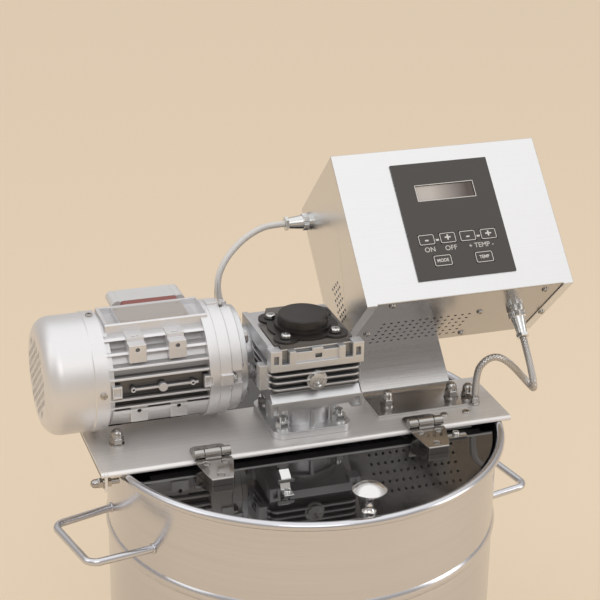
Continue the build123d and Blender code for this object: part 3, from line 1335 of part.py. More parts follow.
with BuildPart(box_face) as box_shell:
    Box(box_width, box_height, box_depth, align=(Align.MIN, Align.MIN, Align.MAX))
    fillet(box_shell.edges().filter_by(Axis.X).sort_by_distance(box_corner + box_up * box_height)[0], 1.4)
    with Locations((box_sheet, -1.0, -box_sheet)):
        Box(box_width - 2 * box_sheet, box_height + 1.0 - box_sheet, box_depth,
            align=(Align.MIN, Align.MIN, Align.MAX), mode=Mode.SUBTRACT)
    with Locations((window_left, window_bottom, 0)):
        Box(window_width, window_height, 6 * box_sheet,
            align=(Align.MIN, Align.MIN, Align.CENTER), mode=Mode.SUBTRACT)
    for x in (0, box_width - box_flange):
        with Locations((x, 0, 0)):
            Box(box_flange, box_sheet, box_depth, align=(Align.MIN, Align.MAX, Align.MAX))
    with Locations(Location((flange_screw[0], 0, flange_screw[1]), (90, 0, 0))):
        Cylinder(screw_r, 6 * box_sheet, mode=Mode.SUBTRACT)
    for row in range(7):
        for column in range(4):
            spot = (0, 17.0 + 6.6 * row, -92.0 + 6.6 * column + (3.3 if row % 2 else 0.0))
            with Locations(Location(spot, (0, 90, 0))):
                Cylinder(1.5, 6 * box_sheet, mode=Mode.SUBTRACT)

motor_socket = (0.0, 149.0, -113.0)
sensor_socket = (191.7, 0.0, -67.4)
mains_socket = (box_width, 60.0, -70.0)
socket_r = 7.5

with box_shell:
    with Locations(Location(motor_socket, (0, 90, 0))):
        Cylinder(socket_r, 6 * box_sheet, mode=Mode.SUBTRACT)
    with Locations(mains_socket):
        Box(6 * box_sheet, 27.0, 20.0, mode=Mode.SUBTRACT)
write(box_shell, "box_shell")

perforation_columns = 13
perforation_rows = 6
tray_screw_spots = (
    (30.2, -8.5), (146.6, -59.5), (24.5, -87.2), (145.6, -121.0), (206.2, -13.9), flange_screw)

with BuildPart(box_face) as box_base:
    with Locations((tray_clear, 0, -tray_clear)):
        Box(box_width - 2 * tray_clear, tray_sheet, box_depth - tray_clear,
            align=(Align.MIN, Align.MIN, Align.MAX))
    with Locations((tray_clear, 0, -box_depth)):
        Box(box_width - 2 * tray_clear, box_height - tray_clear, tray_sheet,
            align=(Align.MIN, Align.MIN, Align.MIN))
    for x in (tray_clear, box_width - tray_clear - tray_sheet):
        with Locations((x, 0, -tray_clear)):
            Box(tray_sheet, 14.0, box_depth - tray_clear, align=(Align.MIN, Align.MIN, Align.MAX))
    for row in range(perforation_rows):
        for column in range(perforation_columns):
            spot = (36.8 + 8.2 * column, 0, -62.0 - 11.0 * row)
            with Locations(Location(spot, (90, 0, 0))):
                Cylinder(1.7, 6 * tray_sheet, mode=Mode.SUBTRACT)
    with Locations(Location(sensor_socket, (90, 0, 0))):
        Cylinder(socket_r, 6 * tray_sheet, mode=Mode.SUBTRACT)
    with Locations(*[Location((x, 0, z), (90, 0, 0)) for x, z in tray_screw_spots]):
        Cylinder(screw_r, 6 * tray_sheet, mode=Mode.SUBTRACT)
write(box_base, "box_base")

# Bracket: a flange on the plate, a wide bend and an upright along the box's back
rear_edge = box_corner - box_normal * box_depth
bracket_fold_y = rear_edge.Y - (rear_edge.Z - plate_top - bracket_sheet) * tan(tilt)
under_fold_y = bracket_fold_y + bracket_sheet * (1 / cos(tilt) - tan(tilt))
bracket_top = rear_edge + box_up * bracket_overlap
bracket_top_back = bracket_top - box_normal * bracket_sheet

bracket_screw_r = 2.5
bracket_screw_spots = [
    (x - box_left, y) for x in (bracket_left + 18, bracket_right - 18) for y in (28.0, 84.0)]
bracket_screw_places = [
    Location((x, y, -box_depth - bracket_sheet), (180, 0, 0)) for x, y in bracket_screw_spots]

with BuildPart() as box_bracket:
    with BuildSketch(Plane(origin=(bracket_left, 0, 0), x_dir=(0, 1, 0), z_dir=(1, 0, 0))):
        with BuildLine():
            FilletPolyline(
                (-bracket_front, plate_top + bracket_sheet), (bracket_fold_y, plate_top + bracket_sheet),
                (bracket_top.Y, bracket_top.Z), radius=bracket_bend_r)
            Line((bracket_top.Y, bracket_top.Z), (bracket_top_back.Y, bracket_top_back.Z))
            FilletPolyline(
                (bracket_top_back.Y, bracket_top_back.Z), (under_fold_y, plate_top),
                (-bracket_front, plate_top), radius=bracket_bend_r + bracket_sheet)
            Line((-bracket_front, plate_top), (-bracket_front, plate_top + bracket_sheet))
        make_face()
    extrude(amount=bracket_right - bracket_left)
    with Locations(*[(x, y, plate_top) for x, y in bracket_nut_xy]):
        Cylinder(bolt_r + bolt_clear, 6 * bracket_sheet, mode=Mode.SUBTRACT)
    with Locations(*[Location(box_face) * place for place in bracket_screw_places]):
        Cylinder(bracket_screw_r, 6 * bracket_sheet, mode=Mode.SUBTRACT)
write(box_bracket, "box_bracket")

with BuildPart(box_face) as box_screws:
    with Locations(*[Location((x, 0, z), (90, 0, 0)) for x, z in tray_screw_spots[:-1]]):
        add(pan_screw(screw_r, 3.8, 2.0, 8.0))
    with Locations(Location((flange_screw[0], -box_sheet, flange_screw[1]), (90, 0, 0))):
        add(pan_screw(screw_r, 3.8, 2.0, 8.0))
    with Locations(*bracket_screw_places):
        add(pan_screw(bracket_screw_r, 4.6, 2.4, bracket_sheet))
write(box_screws, "box_screws")

# Panel: a printed film with six snap keys, and the display on its board behind the window
key_size = (18.0, 12.0)
low_key_size = (20.0, 12.5)
key_spots = {
    "speed_minus_key": (81.4, 65.0, key_size),
    "speed_plus_key": (105.5, 65.0, key_size),
    "time_minus_key": (128.1, 64.8, key_size),
    "time_plus_key": (151.8, 64.6, key_size),
    "mode_key": (93.8, 40.0, low_key_size),
    "temperature_key": (140.6, 39.0, low_key_size),
}

with BuildPart(box_face) as overlay:
    with Locations((overlay_left, overlay_bottom, 0)):
        Box(overlay_width, overlay_height, overlay_sheet, align=(Align.MIN, Align.MIN, Align.MIN))
    with Locations((window_left, window_bottom, 0)):
        Box(window_width, window_height, 6 * overlay_sheet,
            align=(Align.MIN, Align.MIN, Align.CENTER), mode=Mode.SUBTRACT)
    for x, y, (wide, tall) in key_spots.values():
        with Locations((x, y, 0)):
            Box(wide + 2 * key_gap, tall + 2 * key_gap, 6 * overlay_sheet, mode=Mode.SUBTRACT)
write(overlay, "overlay")

for key_name, (x, y, (wide, tall)) in key_spots.items():
    with BuildPart(box_face) as key:
        with Locations((x, y, key_travel + 0.2)):
            Box(wide, tall, overlay_sheet + key_proud - key_travel - 0.2,
                align=(Align.CENTER, Align.CENTER, Align.MIN))
        corner_edges = key.edges().filter_by(lambda edge: abs(edge.tangent_at(0.5).dot(box_normal)) > 0.99)
        fillet(corner_edges, 2.4)
    write(key, key_name)

board_gap = 8.0

with BuildPart(box_face) as display_board:
    with Locations((window_left + 0.3, window_bottom + 0.3, 0.4)):
        Box(window_width - 0.6, window_height - 0.6, 0.4 + board_gap, align=(Align.MIN, Align.MIN, Align.MAX))
    with Locations((overlay_left, overlay_bottom, -board_gap)):
        Box(overlay_width, overlay_height, 1.6, align=(Align.MIN, Align.MIN, Align.MAX))
    with Locations((overlay_left, overlay_bottom, -box_sheet)):
        with Locations(*[(px, py, 0) for px in (6, overlay_width - 6) for py in (6, overlay_height - 6)]):
            Cylinder(3.0, board_gap - box_sheet + 0.1, align=(Align.CENTER, Align.CENTER, Align.MAX))
write(display_board, "display_board")

with BuildPart(box_face) as drive_unit:
    with Locations((60.0, 46.0, -box_depth + tray_sheet)):
        Box(110.0, 100.0, 62.0, align=(Align.MIN, Align.MIN, Align.MIN))
    for row in range(8):
        with Locations((66.0 + 13.0 * row, 40.0, -box_depth + tray_sheet + 62.0)):
            Box(7.0, 112.0, 20.0, align=(Align.MIN, Align.MIN, Align.MAX), mode=Mode.SUBTRACT)
write(drive_unit, "drive_unit")

# Sockets of the box: motor lead on the left, sensor lead below, mains inlet on the right
motor_plug_reach = 30.0
sensor_plug_reach = 32.5
motor_plug_nut = 13.4
sensor_plug_nut = 12.6



def plug(bore_r, reach, nut):
    """A round socket with its plug: collar, knurled ring, tapered body and end nut, bored for the lead."""
    with BuildPart() as body:
        with Locations((0, 0, -8.0)):
            add(round_bar(socket_r, 8.0))
        add(round_bar(10.0, 2.4))
        with Locations((0, 0, 2.4)):
            add(round_bar(8.8, 7.6))
        chamfer(body.faces().sort_by(Axis.Z)[-1].edges(), 0.7)
        with Locations((0, 0, 10.0)):
            Cone(8.0, nut / 2 - 0.6, reach - 14.0, align=(Align.CENTER, Align.CENTER, Align.MIN))
        with Locations((0, 0, reach - 4.0)):
            add(hex_bar(nut, 4.0))
        with Locations((0, 0, -8.0)):
            Cylinder(bore_r, 4 * reach, mode=Mode.SUBTRACT)
    return body.part


with BuildPart(box_face) as sockets:
    with Locations(Location((0.0, motor_socket[1], motor_socket[2]), (0, -90, 0))):
        add(plug(motor_lead_r, motor_plug_reach, motor_plug_nut))
    with Locations(Location((sensor_socket[0], 0.0, sensor_socket[2]), (90, 0, 0))):
        add(plug(sensor_lead_r, sensor_plug_reach, sensor_plug_nut))
    with Locations(mains_socket):
        Box(3.0, 46.0, 23.0, align=(Align.MIN, Align.CENTER, Align.CENTER))
        Box(22.0, 26.6, 19.6, align=(Align.MAX, Align.CENTER, Align.CENTER))
        with Locations((3.0, 0, 0)):
            Box(30.0, 21.0, 14.0, mode=Mode.SUBTRACT)
write(sockets, "sockets")


# Leads: straight runs joined by tangent arcs, from gland to socket and from socket to probe
def lead_radii(points):
    """For each inner point, the arc radius that uses 0.45 of the shorter run beside it."""
    radii = []
    for before, at, after in zip(points, points[1:], points[2:]):
        into = Vector(*at) - Vector(*before)
        out_of = Vector(*after) - Vector(*at)
        turn = into.get_angle(out_of)
        radii.append(0.45 * min(into.length, out_of.length) / tan(radians(turn / 2)))
    return radii


def lead(points, radius):
    """A round lead along a route given as points."""
    radii = lead_radii(points)
    print("lead bend radii", [round(value, 1) for value in radii])
    with BuildPart() as tube:
        with BuildLine() as route:
            FilletPolyline(*points, radius=radii)
        with BuildSketch(Plane(origin=route.line @ 0, z_dir=route.line % 0)):
            Circle(radius)
        sweep()
    length = sum(edge.length for edge in route.edges())
    ratio = tube.part.volume / (pi * radius**2 * length)
    print("lead length", round(length, 1), "volume ratio", round(ratio, 4))
    return tube.part


gland_end = Vector(gland_tip_x, gland_y, gear_z + gland_rise)
motor_plug_end = box_face.from_local_coords(Vector(-motor_plug_reach, motor_socket[1], motor_socket[2]))
sensor_plug_end = box_face.from_local_coords(Vector(sensor_socket[0], -sensor_plug_reach, sensor_socket[2]))
sensor_bend = sensor_plug_end - box_up * 14.0

motor_route = [
    (gland_end.X, gland_end.Y, gland_end.Z),
    (gland_end.X + 19.0, gland_end.Y, gland_end.Z),
    (-53.0, 125.0, plate_top + 48.5),
    (-49.0, 124.5, plate_top + 66.0),
    (-51.5, 124.0, plate_top + 85.0),
    (-56.5, 124.0, plate_top + 104.0),
    (-54.5, 126.5, plate_top + 122.0),
    (-42.5, 132.0, plate_top + 140.0),
    (-23.0, 139.0, plate_top + 154.5),
    (-4.0, 147.5, plate_top + 160.5),
    (motor_plug_end.X - 17.0, motor_plug_end.Y, motor_plug_end.Z),
    (motor_plug_end.X, motor_plug_end.Y, motor_plug_end.Z),
]
sensor_route = [
    (sensor_plug_end.X, sensor_plug_end.Y, sensor_plug_end.Z),
    (sensor_bend.X, sensor_bend.Y, sensor_bend.Z),
    (sensor_plug_end.X - 0.7, -42.0, plate_top + 23.5),
    (sensor_plug_end.X + 2.5, -26.5, plate_top + 12.3),
    (plate_right + 14.5, -26.0, plate_top + 41.5),
    (plate_right + 2.0, -25.5, plate_top + 52.2),
    (probe_xy[0] + 17.1, -25.0, plate_top + 55.4),
    (probe_xy[0] + 6.4, -24.0, plate_top + 50.0),
    (probe_xy[0], probe_xy[1], plate_top + 37.0),
    (probe_xy[0], probe_xy[1], plate_top + probe_collar),
]

with BuildPart() as motor_lead:
    add(lead(motor_route, motor_lead_r))
write(motor_lead, "motor_lead")

with BuildPart() as sensor_lead:
    add(lead(sensor_route, sensor_lead_r))
write(sensor_lead, "sensor_lead")
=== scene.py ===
# %% [markdown]
# A honey creamer: a stainless drum with a geared stirrer on a bridge plate, a smoked half lid on two
# hinges and a tilted control box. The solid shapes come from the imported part. This file adds the
# finishes, the leads, the print on the panel and the small cast and drawn detail.

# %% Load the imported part
import json
import math

import bmesh
import bpy
from mathutils import Matrix, Vector


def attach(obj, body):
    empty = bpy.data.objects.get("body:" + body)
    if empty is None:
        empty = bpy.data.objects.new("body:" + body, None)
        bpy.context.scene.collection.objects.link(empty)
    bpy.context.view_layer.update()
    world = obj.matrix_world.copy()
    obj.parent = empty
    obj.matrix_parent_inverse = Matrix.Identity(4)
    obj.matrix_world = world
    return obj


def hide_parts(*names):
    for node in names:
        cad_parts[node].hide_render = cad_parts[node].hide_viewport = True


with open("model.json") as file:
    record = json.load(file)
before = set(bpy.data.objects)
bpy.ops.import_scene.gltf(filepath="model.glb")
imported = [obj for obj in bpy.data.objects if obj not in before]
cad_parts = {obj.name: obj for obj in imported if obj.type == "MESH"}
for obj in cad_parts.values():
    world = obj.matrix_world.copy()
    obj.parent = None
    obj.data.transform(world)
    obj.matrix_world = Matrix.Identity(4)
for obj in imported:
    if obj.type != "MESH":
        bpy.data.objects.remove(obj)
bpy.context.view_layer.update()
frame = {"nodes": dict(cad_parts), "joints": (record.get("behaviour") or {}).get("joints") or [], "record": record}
nodes = frame["nodes"]
record = frame["record"]
bpy.context.scene.view_settings.view_transform = "Standard"
slot_of = {part["node"]: part["material_slot"] for part in record["subparts"]}
body_of = {}
for body, members in record["behaviour"]["bodies"].items():
    for node in members:
        body_of[node] = body

# %% [markdown]
# Blender keeps what a thing is, such as a mesh or a lamp, apart from the object that stands in the
# scene and shows it. Every step below ends by making that object, and every shaped mesh starts on a
# bmesh, so two short helpers do both.


# %% Into the scene
def show(name, data):
    """Stands a mesh, a curve, a lamp or a camera in the scene."""
    made = bpy.data.objects.new(name, data)
    bpy.context.scene.collection.objects.link(made)
    return made


def mesh_of(name, shape):
    """Keeps a finished bmesh as a mesh."""
    mesh = bpy.data.meshes.new(name)
    shape.to_mesh(mesh)
    shape.free()
    return mesh


print("helpers ready")

# %% [markdown]
# The camera stands to the front left and looks down at the drum's top. A long lens a good way off
# keeps the edges nearly parallel, which is how the photograph draws them.

# %% Camera
camera_at = (-0.53523, -1.57639, 1.29355)
camera_yaw = math.radians(18.65)
camera_down = math.radians(22.89)
camera_roll = math.radians(0.76)
lens = bpy.data.cameras.new("view_camera")
lens.lens = 105.21
lens.sensor_width = 36.0
lens.clip_end = 60.0
camera = show("view_camera", lens)
camera.matrix_world = (
    Matrix.Translation(camera_at)
    @ Matrix.Rotation(-camera_yaw, 4, "Z")
    @ Matrix.Rotation(math.pi / 2 - camera_down, 4, "X")
    @ Matrix.Rotation(camera_roll, 4, "Z")
)
bpy.context.scene.camera = camera
print("camera", camera_at)

# %% [markdown]
# Node trees are easier to read as sums than as boxes and lines. A Wire is one output socket: adding,
# multiplying or comparing it puts the Math node there. The Bench holds the tree, and its node method
# makes every other node: the settings come first, because they can change which sockets there are.


# %% A bench for node trees
class Wire:
    """One output of a node, on which plain arithmetic can be written."""

    def __init__(self, bench, socket):
        self.bench = bench
        self.socket = socket

    def maths(self, operation, left, right=0.0):
        return self.bench.node("ShaderNodeMath", {"operation": operation}, {0: left, 1: right})

    def __add__(self, other):
        return self.maths("ADD", self, other)

    def __sub__(self, other):
        return self.maths("SUBTRACT", self, other)

    def __rsub__(self, other):
        return self.maths("SUBTRACT", other, self)

    def __mul__(self, other):
        return self.maths("MULTIPLY", self, other)

    def __mod__(self, other):
        return self.maths("FLOORED_MODULO", self, other)

    def __gt__(self, other):
        return self.maths("GREATER_THAN", self, other)

    def __abs__(self):
        return self.maths("ABSOLUTE", self)

    def __floor__(self):
        return self.maths("FLOOR", self)

    __radd__ = __add__
    __rmul__ = __mul__


class Bench:
    """A node tree to work on."""

    def __init__(self, tree):
        self.tree = tree

    def plug(self, socket, value):
        if isinstance(value, Wire):
            self.tree.links.new(value.socket, socket)
        else:
            socket.default_value = value

    def node(self, kind, settings=None, sockets=None, out=0):
        made = self.tree.nodes.new(kind)
        for name, value in (settings or {}).items():
            if name == "stops":
                while len(made.color_ramp.elements) < len(value):
                    made.color_ramp.elements.new(1.0)
                for element, (at, tone) in zip(made.color_ramp.elements, value):
                    element.position = at
                    element.color = (*tone, 1.0)
            else:
                setattr(made, name, value)
        for key, value in (sockets or {}).items():
            self.plug(made.inputs[key], value)
        return Wire(self, made.outputs[out])

    def axis(self, letter, vector):
        return self.node("ShaderNodeSeparateXYZ", None, {0: vector}, out=letter)


print("bench ready")

# %% [markdown]
# A finish is a material with one Principled shader. What is the same all over is set on the shader's
# own sockets. What changes over the surface is worked out from Object coordinates, which are metres
# on the object, so grain keeps its true size whatever piece wears it.


# %% A finish and its patterns
class Finish(Bench):
    """A material on the bench, with helpers for the patterns that several finishes share."""

    def __init__(self, name, colour, **fixed):
        self.material = bpy.data.materials.new(name)
        self.material.use_nodes = True
        super().__init__(self.material.node_tree)
        self.shader = self.tree.nodes["Principled BSDF"]
        self.place = self.node("ShaderNodeTexCoord", out="Object")
        self.shader.inputs["Base Color"].default_value = (*colour, 1.0)
        for socket, value in fixed.items():
            self.shader.inputs[socket.replace("_", " ")].default_value = value

    def feed(self, socket, value):
        self.plug(self.shader.inputs[socket], value)

    def stretched(self, scale, turn=(0, 0, 0)):
        return self.node("ShaderNodeMapping", None,
                         {"Vector": self.place, "Scale": scale, "Rotation": turn})

    def noise(self, vector, scale=1.0, detail=2.0, rough=0.5):
        return self.node("ShaderNodeTexNoise", None,
                         {"Vector": vector, "Scale": scale, "Detail": detail, "Roughness": rough})

    def span(self, value, low, high, to_low, to_high):
        return self.node("ShaderNodeMapRange", None,
                         {"Value": value, "From Min": low, "From Max": high,
                          "To Min": to_low, "To Max": to_high})

    def tones(self, value, first, second):
        return self.node("ShaderNodeMix", {"data_type": "RGBA"},
                         {0: value, 6: (*first, 1.0), 7: (*second, 1.0)}, out=2)

    def relief(self, height, depth):
        self.feed("Normal", self.node("ShaderNodeBump", None, {"Height": height, "Distance": depth,
                                                               "Strength": 1.0}))


def srgb(red, green, blue):
    """A colour as a paint chart gives it, turned into the light that it sends back."""
    return tuple(((c / 255 + 0.055) / 1.055) ** 2.4 if c > 10 else c / 255 / 12.92
                 for c in (red, green, blue))


def dimmed(colour, share):
    return tuple(c * share for c in colour)


finishes = {}
print("finish class ready")

# %% [markdown]
# The room: a plain pale floor, and a sky of soft light that is bright overhead and dim near the
# horizon, as in a studio with a lit ceiling and far grey walls. Metal shows what stands round it: the
# level plate and the lid mirror the dim far wall, the upright drum mirrors the pale floor, and the
# tilted face of the control box mirrors the ceiling.

# %% Floor and sky
floor_reach = 9.0
shape = bmesh.new()
bmesh.ops.create_grid(shape, x_segments=1, y_segments=1, size=floor_reach)
floor = show("floor", mesh_of("floor", shape))
floor.data.materials.append(Finish("pale_floor", srgb(231, 211, 184), Roughness=0.75).material)

sky_tones = [
    (0.00, (0.44, 0.41, 0.385)), (0.40, (0.47, 0.445, 0.425)),
    (0.64, (0.66, 0.65, 0.64)), (0.80, (1.08, 1.08, 1.08)),
]
world = bpy.data.worlds.new("soft_sky")
bpy.context.scene.world = world
world.use_nodes = True
sky = Bench(world.node_tree)
climb = sky.axis("Z", sky.node("ShaderNodeTexCoord", out="Generated"))
tone = sky.node("ShaderNodeValToRGB", {"stops": sky_tones}, {"Fac": climb})
backdrop = world.node_tree.nodes["Background"]
sky.plug(backdrop.inputs["Color"], tone)
backdrop.inputs["Strength"].default_value = 1.1
print("floor", 2 * floor_reach, "m across,", len(sky_tones), "sky tones")

# %% [markdown]
# An even sky alone gives no side to the light. Three weak soft boxes, in front and to the left and
# right, draw long highlights down the drum and round the motor. They are large, so the shadows that
# they throw have no hard edge.


# %% Soft boxes
def soft_box(name, at, aim_at, size, power):
    lamp = bpy.data.lights.new(name, "AREA")
    lamp.shape = "RECTANGLE"
    lamp.size, lamp.size_y = size
    lamp.energy = power
    made = show(name, lamp)
    made.location = at
    made.rotation_euler = (Vector(aim_at) - Vector(at)).to_track_quat("-Z", "Y").to_euler()


soft_box("front_box", (-0.5, -2.4, 2.3), (0.0, 0.0, 0.5), (1.6, 1.2), 9.0)
soft_box("left_box", (-2.2, -0.2, 1.9), (0.0, 0.0, 0.5), (1.2, 1.6), 4.5)
soft_box("right_box", (2.3, -1.0, 1.1), (0.1, 0.0, 0.4), (1.0, 1.6), 10.0)
print("soft boxes", len(bpy.data.lights))

# %% [markdown]
# Sheet steel is brushed: fine scratches run one way, so the noise is stretched a few hundred times
# along them. Their slopes are what smears a reflection across the grain, so they go to the bump as
# well as to the roughness. The drum was brushed as it turned, so its scratches go round it. The bridge
# plate, its bracket and the control box were brushed along their length.


# %% Brushed steels
def brushed(name, colour, across, rough, depth, streak=0.90, metal=1.0):
    """Steel sheet with scratches along the direction whose entry in across is small."""
    made = Finish(name, colour, Metallic=metal)
    scratches = made.noise(made.stretched(across), 1.0, 4.0, 0.62)
    streaks = made.noise(made.stretched(tuple(0.06 * a for a in across)), 1.0, 3.0, 0.5)
    clouds = made.noise(made.place, 11.0, 4.0, 0.55)
    grain = scratches * 0.7 + streaks * 0.3
    made.feed("Roughness", made.span(grain, 0.3, 0.7, *rough) + (clouds - 0.5) * 0.05)
    made.feed("Base Color", made.tones(made.span(grain, 0.35, 0.65, 0, 1), dimmed(colour, streak), colour))
    made.relief(scratches, depth)
    finishes[name] = made.material


round_drum = (5, 5, 1300)
round_shaft = (5, 5, 1200)
along_plate = (6, 1200, 1200)
along_box = (5, 1100, 1100)
along_tag = (9, 900, 900)
fine_scratch = 0.00003
brushed("drum_steel", (0.67, 0.67, 0.70), round_drum, (0.16, 0.26), fine_scratch)
brushed("plate_steel", (0.88, 0.855, 0.835), along_plate, (0.28, 0.42), 0.0002, 0.86, metal=0.6)
brushed("box_steel", (0.78, 0.775, 0.775), along_box, (0.26, 0.36), fine_scratch, 0.955)
# The darker tones of the bracket and of the box's base are painted shade under the box.
brushed("bracket_steel", (0.64, 0.625, 0.615), along_box, (0.15, 0.24), fine_scratch, 0.94)
brushed("base_steel", (0.50, 0.485, 0.475), along_box, (0.15, 0.24), fine_scratch, 0.94)
brushed("shaft_steel", (0.60, 0.59, 0.57), round_shaft, (0.2, 0.34), fine_scratch)
brushed("bare_plate", (0.64, 0.60, 0.57), along_tag, (0.34, 0.5), 0.00006)
print("brushed", sorted(finishes))

# %% [markdown]
# Castings, paint and plastic share a recipe: one cloud of noise, fine enough to be the grain of the
# surface, moves the colour a little, the gloss a little more, and lifts a shallow bump. What differs
# is the size of the grain, its depth and how metallic the surface is. A finish that is darker in some
# places names a mask for them and the colour that it takes there.


# %% Plain finishes
def plain(name, colour, grain, depth, rough, shade=0.93, marked=None, mark=None, **fixed):
    made = Finish(name, colour, **fixed)
    fine = made.noise(made.place, grain, 4.0, 0.55)
    broad = made.noise(made.place, 26.0, 3.0, 0.5)
    made.feed("Roughness", made.span(fine * 0.6 + broad * 0.4, 0.35, 0.65, *rough))
    blend = made.span(fine * 0.5 + broad * 0.5, 0.35, 0.65, 0, 1)
    tint = made.tones(blend, dimmed(colour, shade), colour)
    if marked:
        tint = made.node("ShaderNodeMix", {"data_type": "RGBA"},
                         {0: marked(made), 6: tint, 7: (*mark, 1.0)}, out=2)
    made.feed("Base Color", tint)
    if depth:
        made.relief(fine, depth)
    finishes[name] = made.material


plain("polished_steel", (0.46, 0.44, 0.42), 60, 0, (0.07, 0.15), Metallic=1.0)
plain("chrome_plate", (0.75, 0.74, 0.73), 40, 0, (0.03, 0.07), 0.97, Metallic=1.0)
plain("zinc_plate", (0.72, 0.72, 0.71), 300, 0.00002, (0.14, 0.26), Metallic=1.0)
plain("bronze", (0.6, 0.4, 0.2), 300, 0.00003, (0.25, 0.4), Metallic=1.0)
plain("drive_case", (0.5, 0.5, 0.5), 400, 0.00005, (0.35, 0.5), Metallic=1.0)
plain("terminal_paint", srgb(216, 215, 214), 600, 0.00004, (0.34, 0.44), 0.95, Metallic=0.15)
plain("terminal_brown", srgb(150, 88, 82), 500, 0.0001, (0.45, 0.6), 0.8)
plain("panel_film", srgb(66, 62, 59), 1500, 0.00001, (0.34, 0.42))
plain("key_film", srgb(64, 60, 57), 1500, 0.00001, (0.34, 0.42))
plain("panel_ink", srgb(214, 210, 205), 900, 0, (0.4, 0.5))
plain("nylon", srgb(225, 224, 218), 200, 0.00003, (0.4, 0.55))
plain("fan_plastic", srgb(52, 52, 55), 400, 0.00005, (0.45, 0.6))
plain("windings", srgb(110, 62, 34), 900, 0.0002, (0.3, 0.5))
plain("lead_grey", srgb(224, 221, 217), 500, 0.00004, (0.34, 0.46))
print("finishes", len(finishes))

# %% [markdown]
# The gearbox and the motor's frame are cast. The hollows between their fins are deep and see little
# light, and that shade is painted into their colour as a dark tone, on the motor darker towards the
# bottom. A mask of the object's own coordinates finds them: on the gearbox behind the edges of the fins
# and of the slots above them, on the motor nearer its axis than the tips of the ribs. The cap on the
# gearbox is black, and the flat plate under it is grey, so its mask is a height. A painted map could do
# the same, but coordinates need no unwrapping.

# %% Painted shade in the castings' hollows
fin_front = (-0.0492, -0.0455)
fin_side = (0.0490, 0.0465)
fin_heights = (0.5086, 0.5362)
slot_front = (-0.0468, -0.0456)
slot_heights = (0.5410, 0.5560)
rib_tip = 0.0575
rib_root = 0.0535
rib_ends = (-0.2088, -0.1052)
cap_plate_top = 0.5609
motor_axis = next(joint["pos_m"] for joint in frame["joints"] if joint["name"] == "rotor_spin")


def within(value, low, high):
    return (value > low) * (1.0 - (value > high))


# Painted shade: a dark tone behind the gearbox's fins and slots, where little light gets in.
def painted_shade_between_fins(made):
    across, back, up = (made.axis(letter, made.place) for letter in "XYZ")
    fins = within(up, *fin_heights) * made.span(back, *fin_front, 0, 1)
    slots = within(up, *slot_heights) * 0.75 * made.span(back, *slot_front, 0, 1)
    return made.span(abs(across), *fin_side, 0, 1) * (fins + slots)


# Painted shade: a dark tone between the motor's ribs.
def painted_shade_between_ribs(made):
    across, back, up = (made.axis(letter, made.place) for letter in "XYZ")
    reach = back - motor_axis[1]
    rise = up - motor_axis[2]
    deep = made.span(reach * reach + rise * rise, rib_tip ** 2, rib_root ** 2, 0, 1)
    # The painted shade grows darker towards the bottom of the motor.
    low = made.span(rise, 0.024, 0.012, 0.12, 0.92)
    return deep * low * within(across, *rib_ends)


def flat_plate(made):
    return 1.0 - (made.axis("Z", made.place) > cap_plate_top)


# The dark marks on the gearbox and the motor are painted shade in their hollows.
plain("gear_casting", (0.72, 0.72, 0.73), 1300, 0.00006, (0.28, 0.40), 0.9,
      marked=painted_shade_between_fins, mark=(0.15, 0.15, 0.15), Metallic=0.85)
plain("motor_paint", srgb(229, 228, 229), 700, 0.00004, (0.34, 0.44), 0.96,
      marked=painted_shade_between_ribs, mark=srgb(88, 85, 82), Metallic=0.7)
plain("black_cap", srgb(38, 34, 32), 1200, 0.00006, (0.32, 0.42),
      marked=flat_plate, mark=srgb(98, 93, 89))
print("motor axis at", motor_axis)

# %% [markdown]
# The half lid is smoked acrylic, polished, and a little of the drum's inside shows through it. Alpha
# lets that part of the light straight through. Faint wiping marks in the roughness break the mirror.

# %% Smoked acrylic
smoke = Finish("smoked_acrylic", (0.012, 0.011, 0.011), IOR=1.8, Alpha=0.88,
               Coat_Weight=0.7, Coat_Roughness=0.02)
wiping = smoke.noise(smoke.stretched((9, 26, 9), (0, 0, 0.5)), 1.0, 5.0, 0.6)
smoke.feed("Roughness", smoke.span(wiping, 0.4, 0.7, 0.012, 0.06))
smoke.material.surface_render_method = "BLENDED"
finishes["smoked_acrylic"] = smoke.material
print("lid alpha", smoke.shader.inputs["Alpha"].default_value)

# %% [markdown]
# The display is off, and its own tone is a dark brown. The pale tone at its left is a painted
# reflection, a glare that fades into the brown towards the right, so one ramp along the window blends
# the two tones, and a little noise keeps the ramp from looking ruled.

# %% Display glass
box_left = 0.0586
window_left = box_left + 0.0843
painted_glare_ends = (0.016, 0.058)
glass = Finish("display_glass", srgb(150, 140, 132), IOR=1.5, Coat_Weight=0.4)
along = glass.axis("X", glass.place) - window_left
cells = glass.noise(glass.place, 90.0, 3.0)
painted_glare_ramp = glass.span(along + (cells - 0.5) * 0.004, *painted_glare_ends, 0.0, 1.0)
# Painted reflection: the pale tone is glare on the glass; the brown is the display's own colour.
glass.feed("Base Color", glass.tones(painted_glare_ramp, srgb(186, 178, 171), srgb(66, 50, 40)))
glass.feed("Roughness", glass.span(cells, 0.3, 0.7, 0.06, 0.12))
finishes["display_glass"] = glass.material
print("display fades over", painted_glare_ends)

# %% [markdown]
# The sensor's lead wears a braid of bright wire. Two sets of strands wind round it in opposite
# directions and pass over and under each other. Its own UV map carries the pattern: one unit across is
# once round the lead, and one unit along is as long as that, so the strands cross at a right angle. The
# dark tone at the edges of each strand is painted shade in the hollows of the weave.

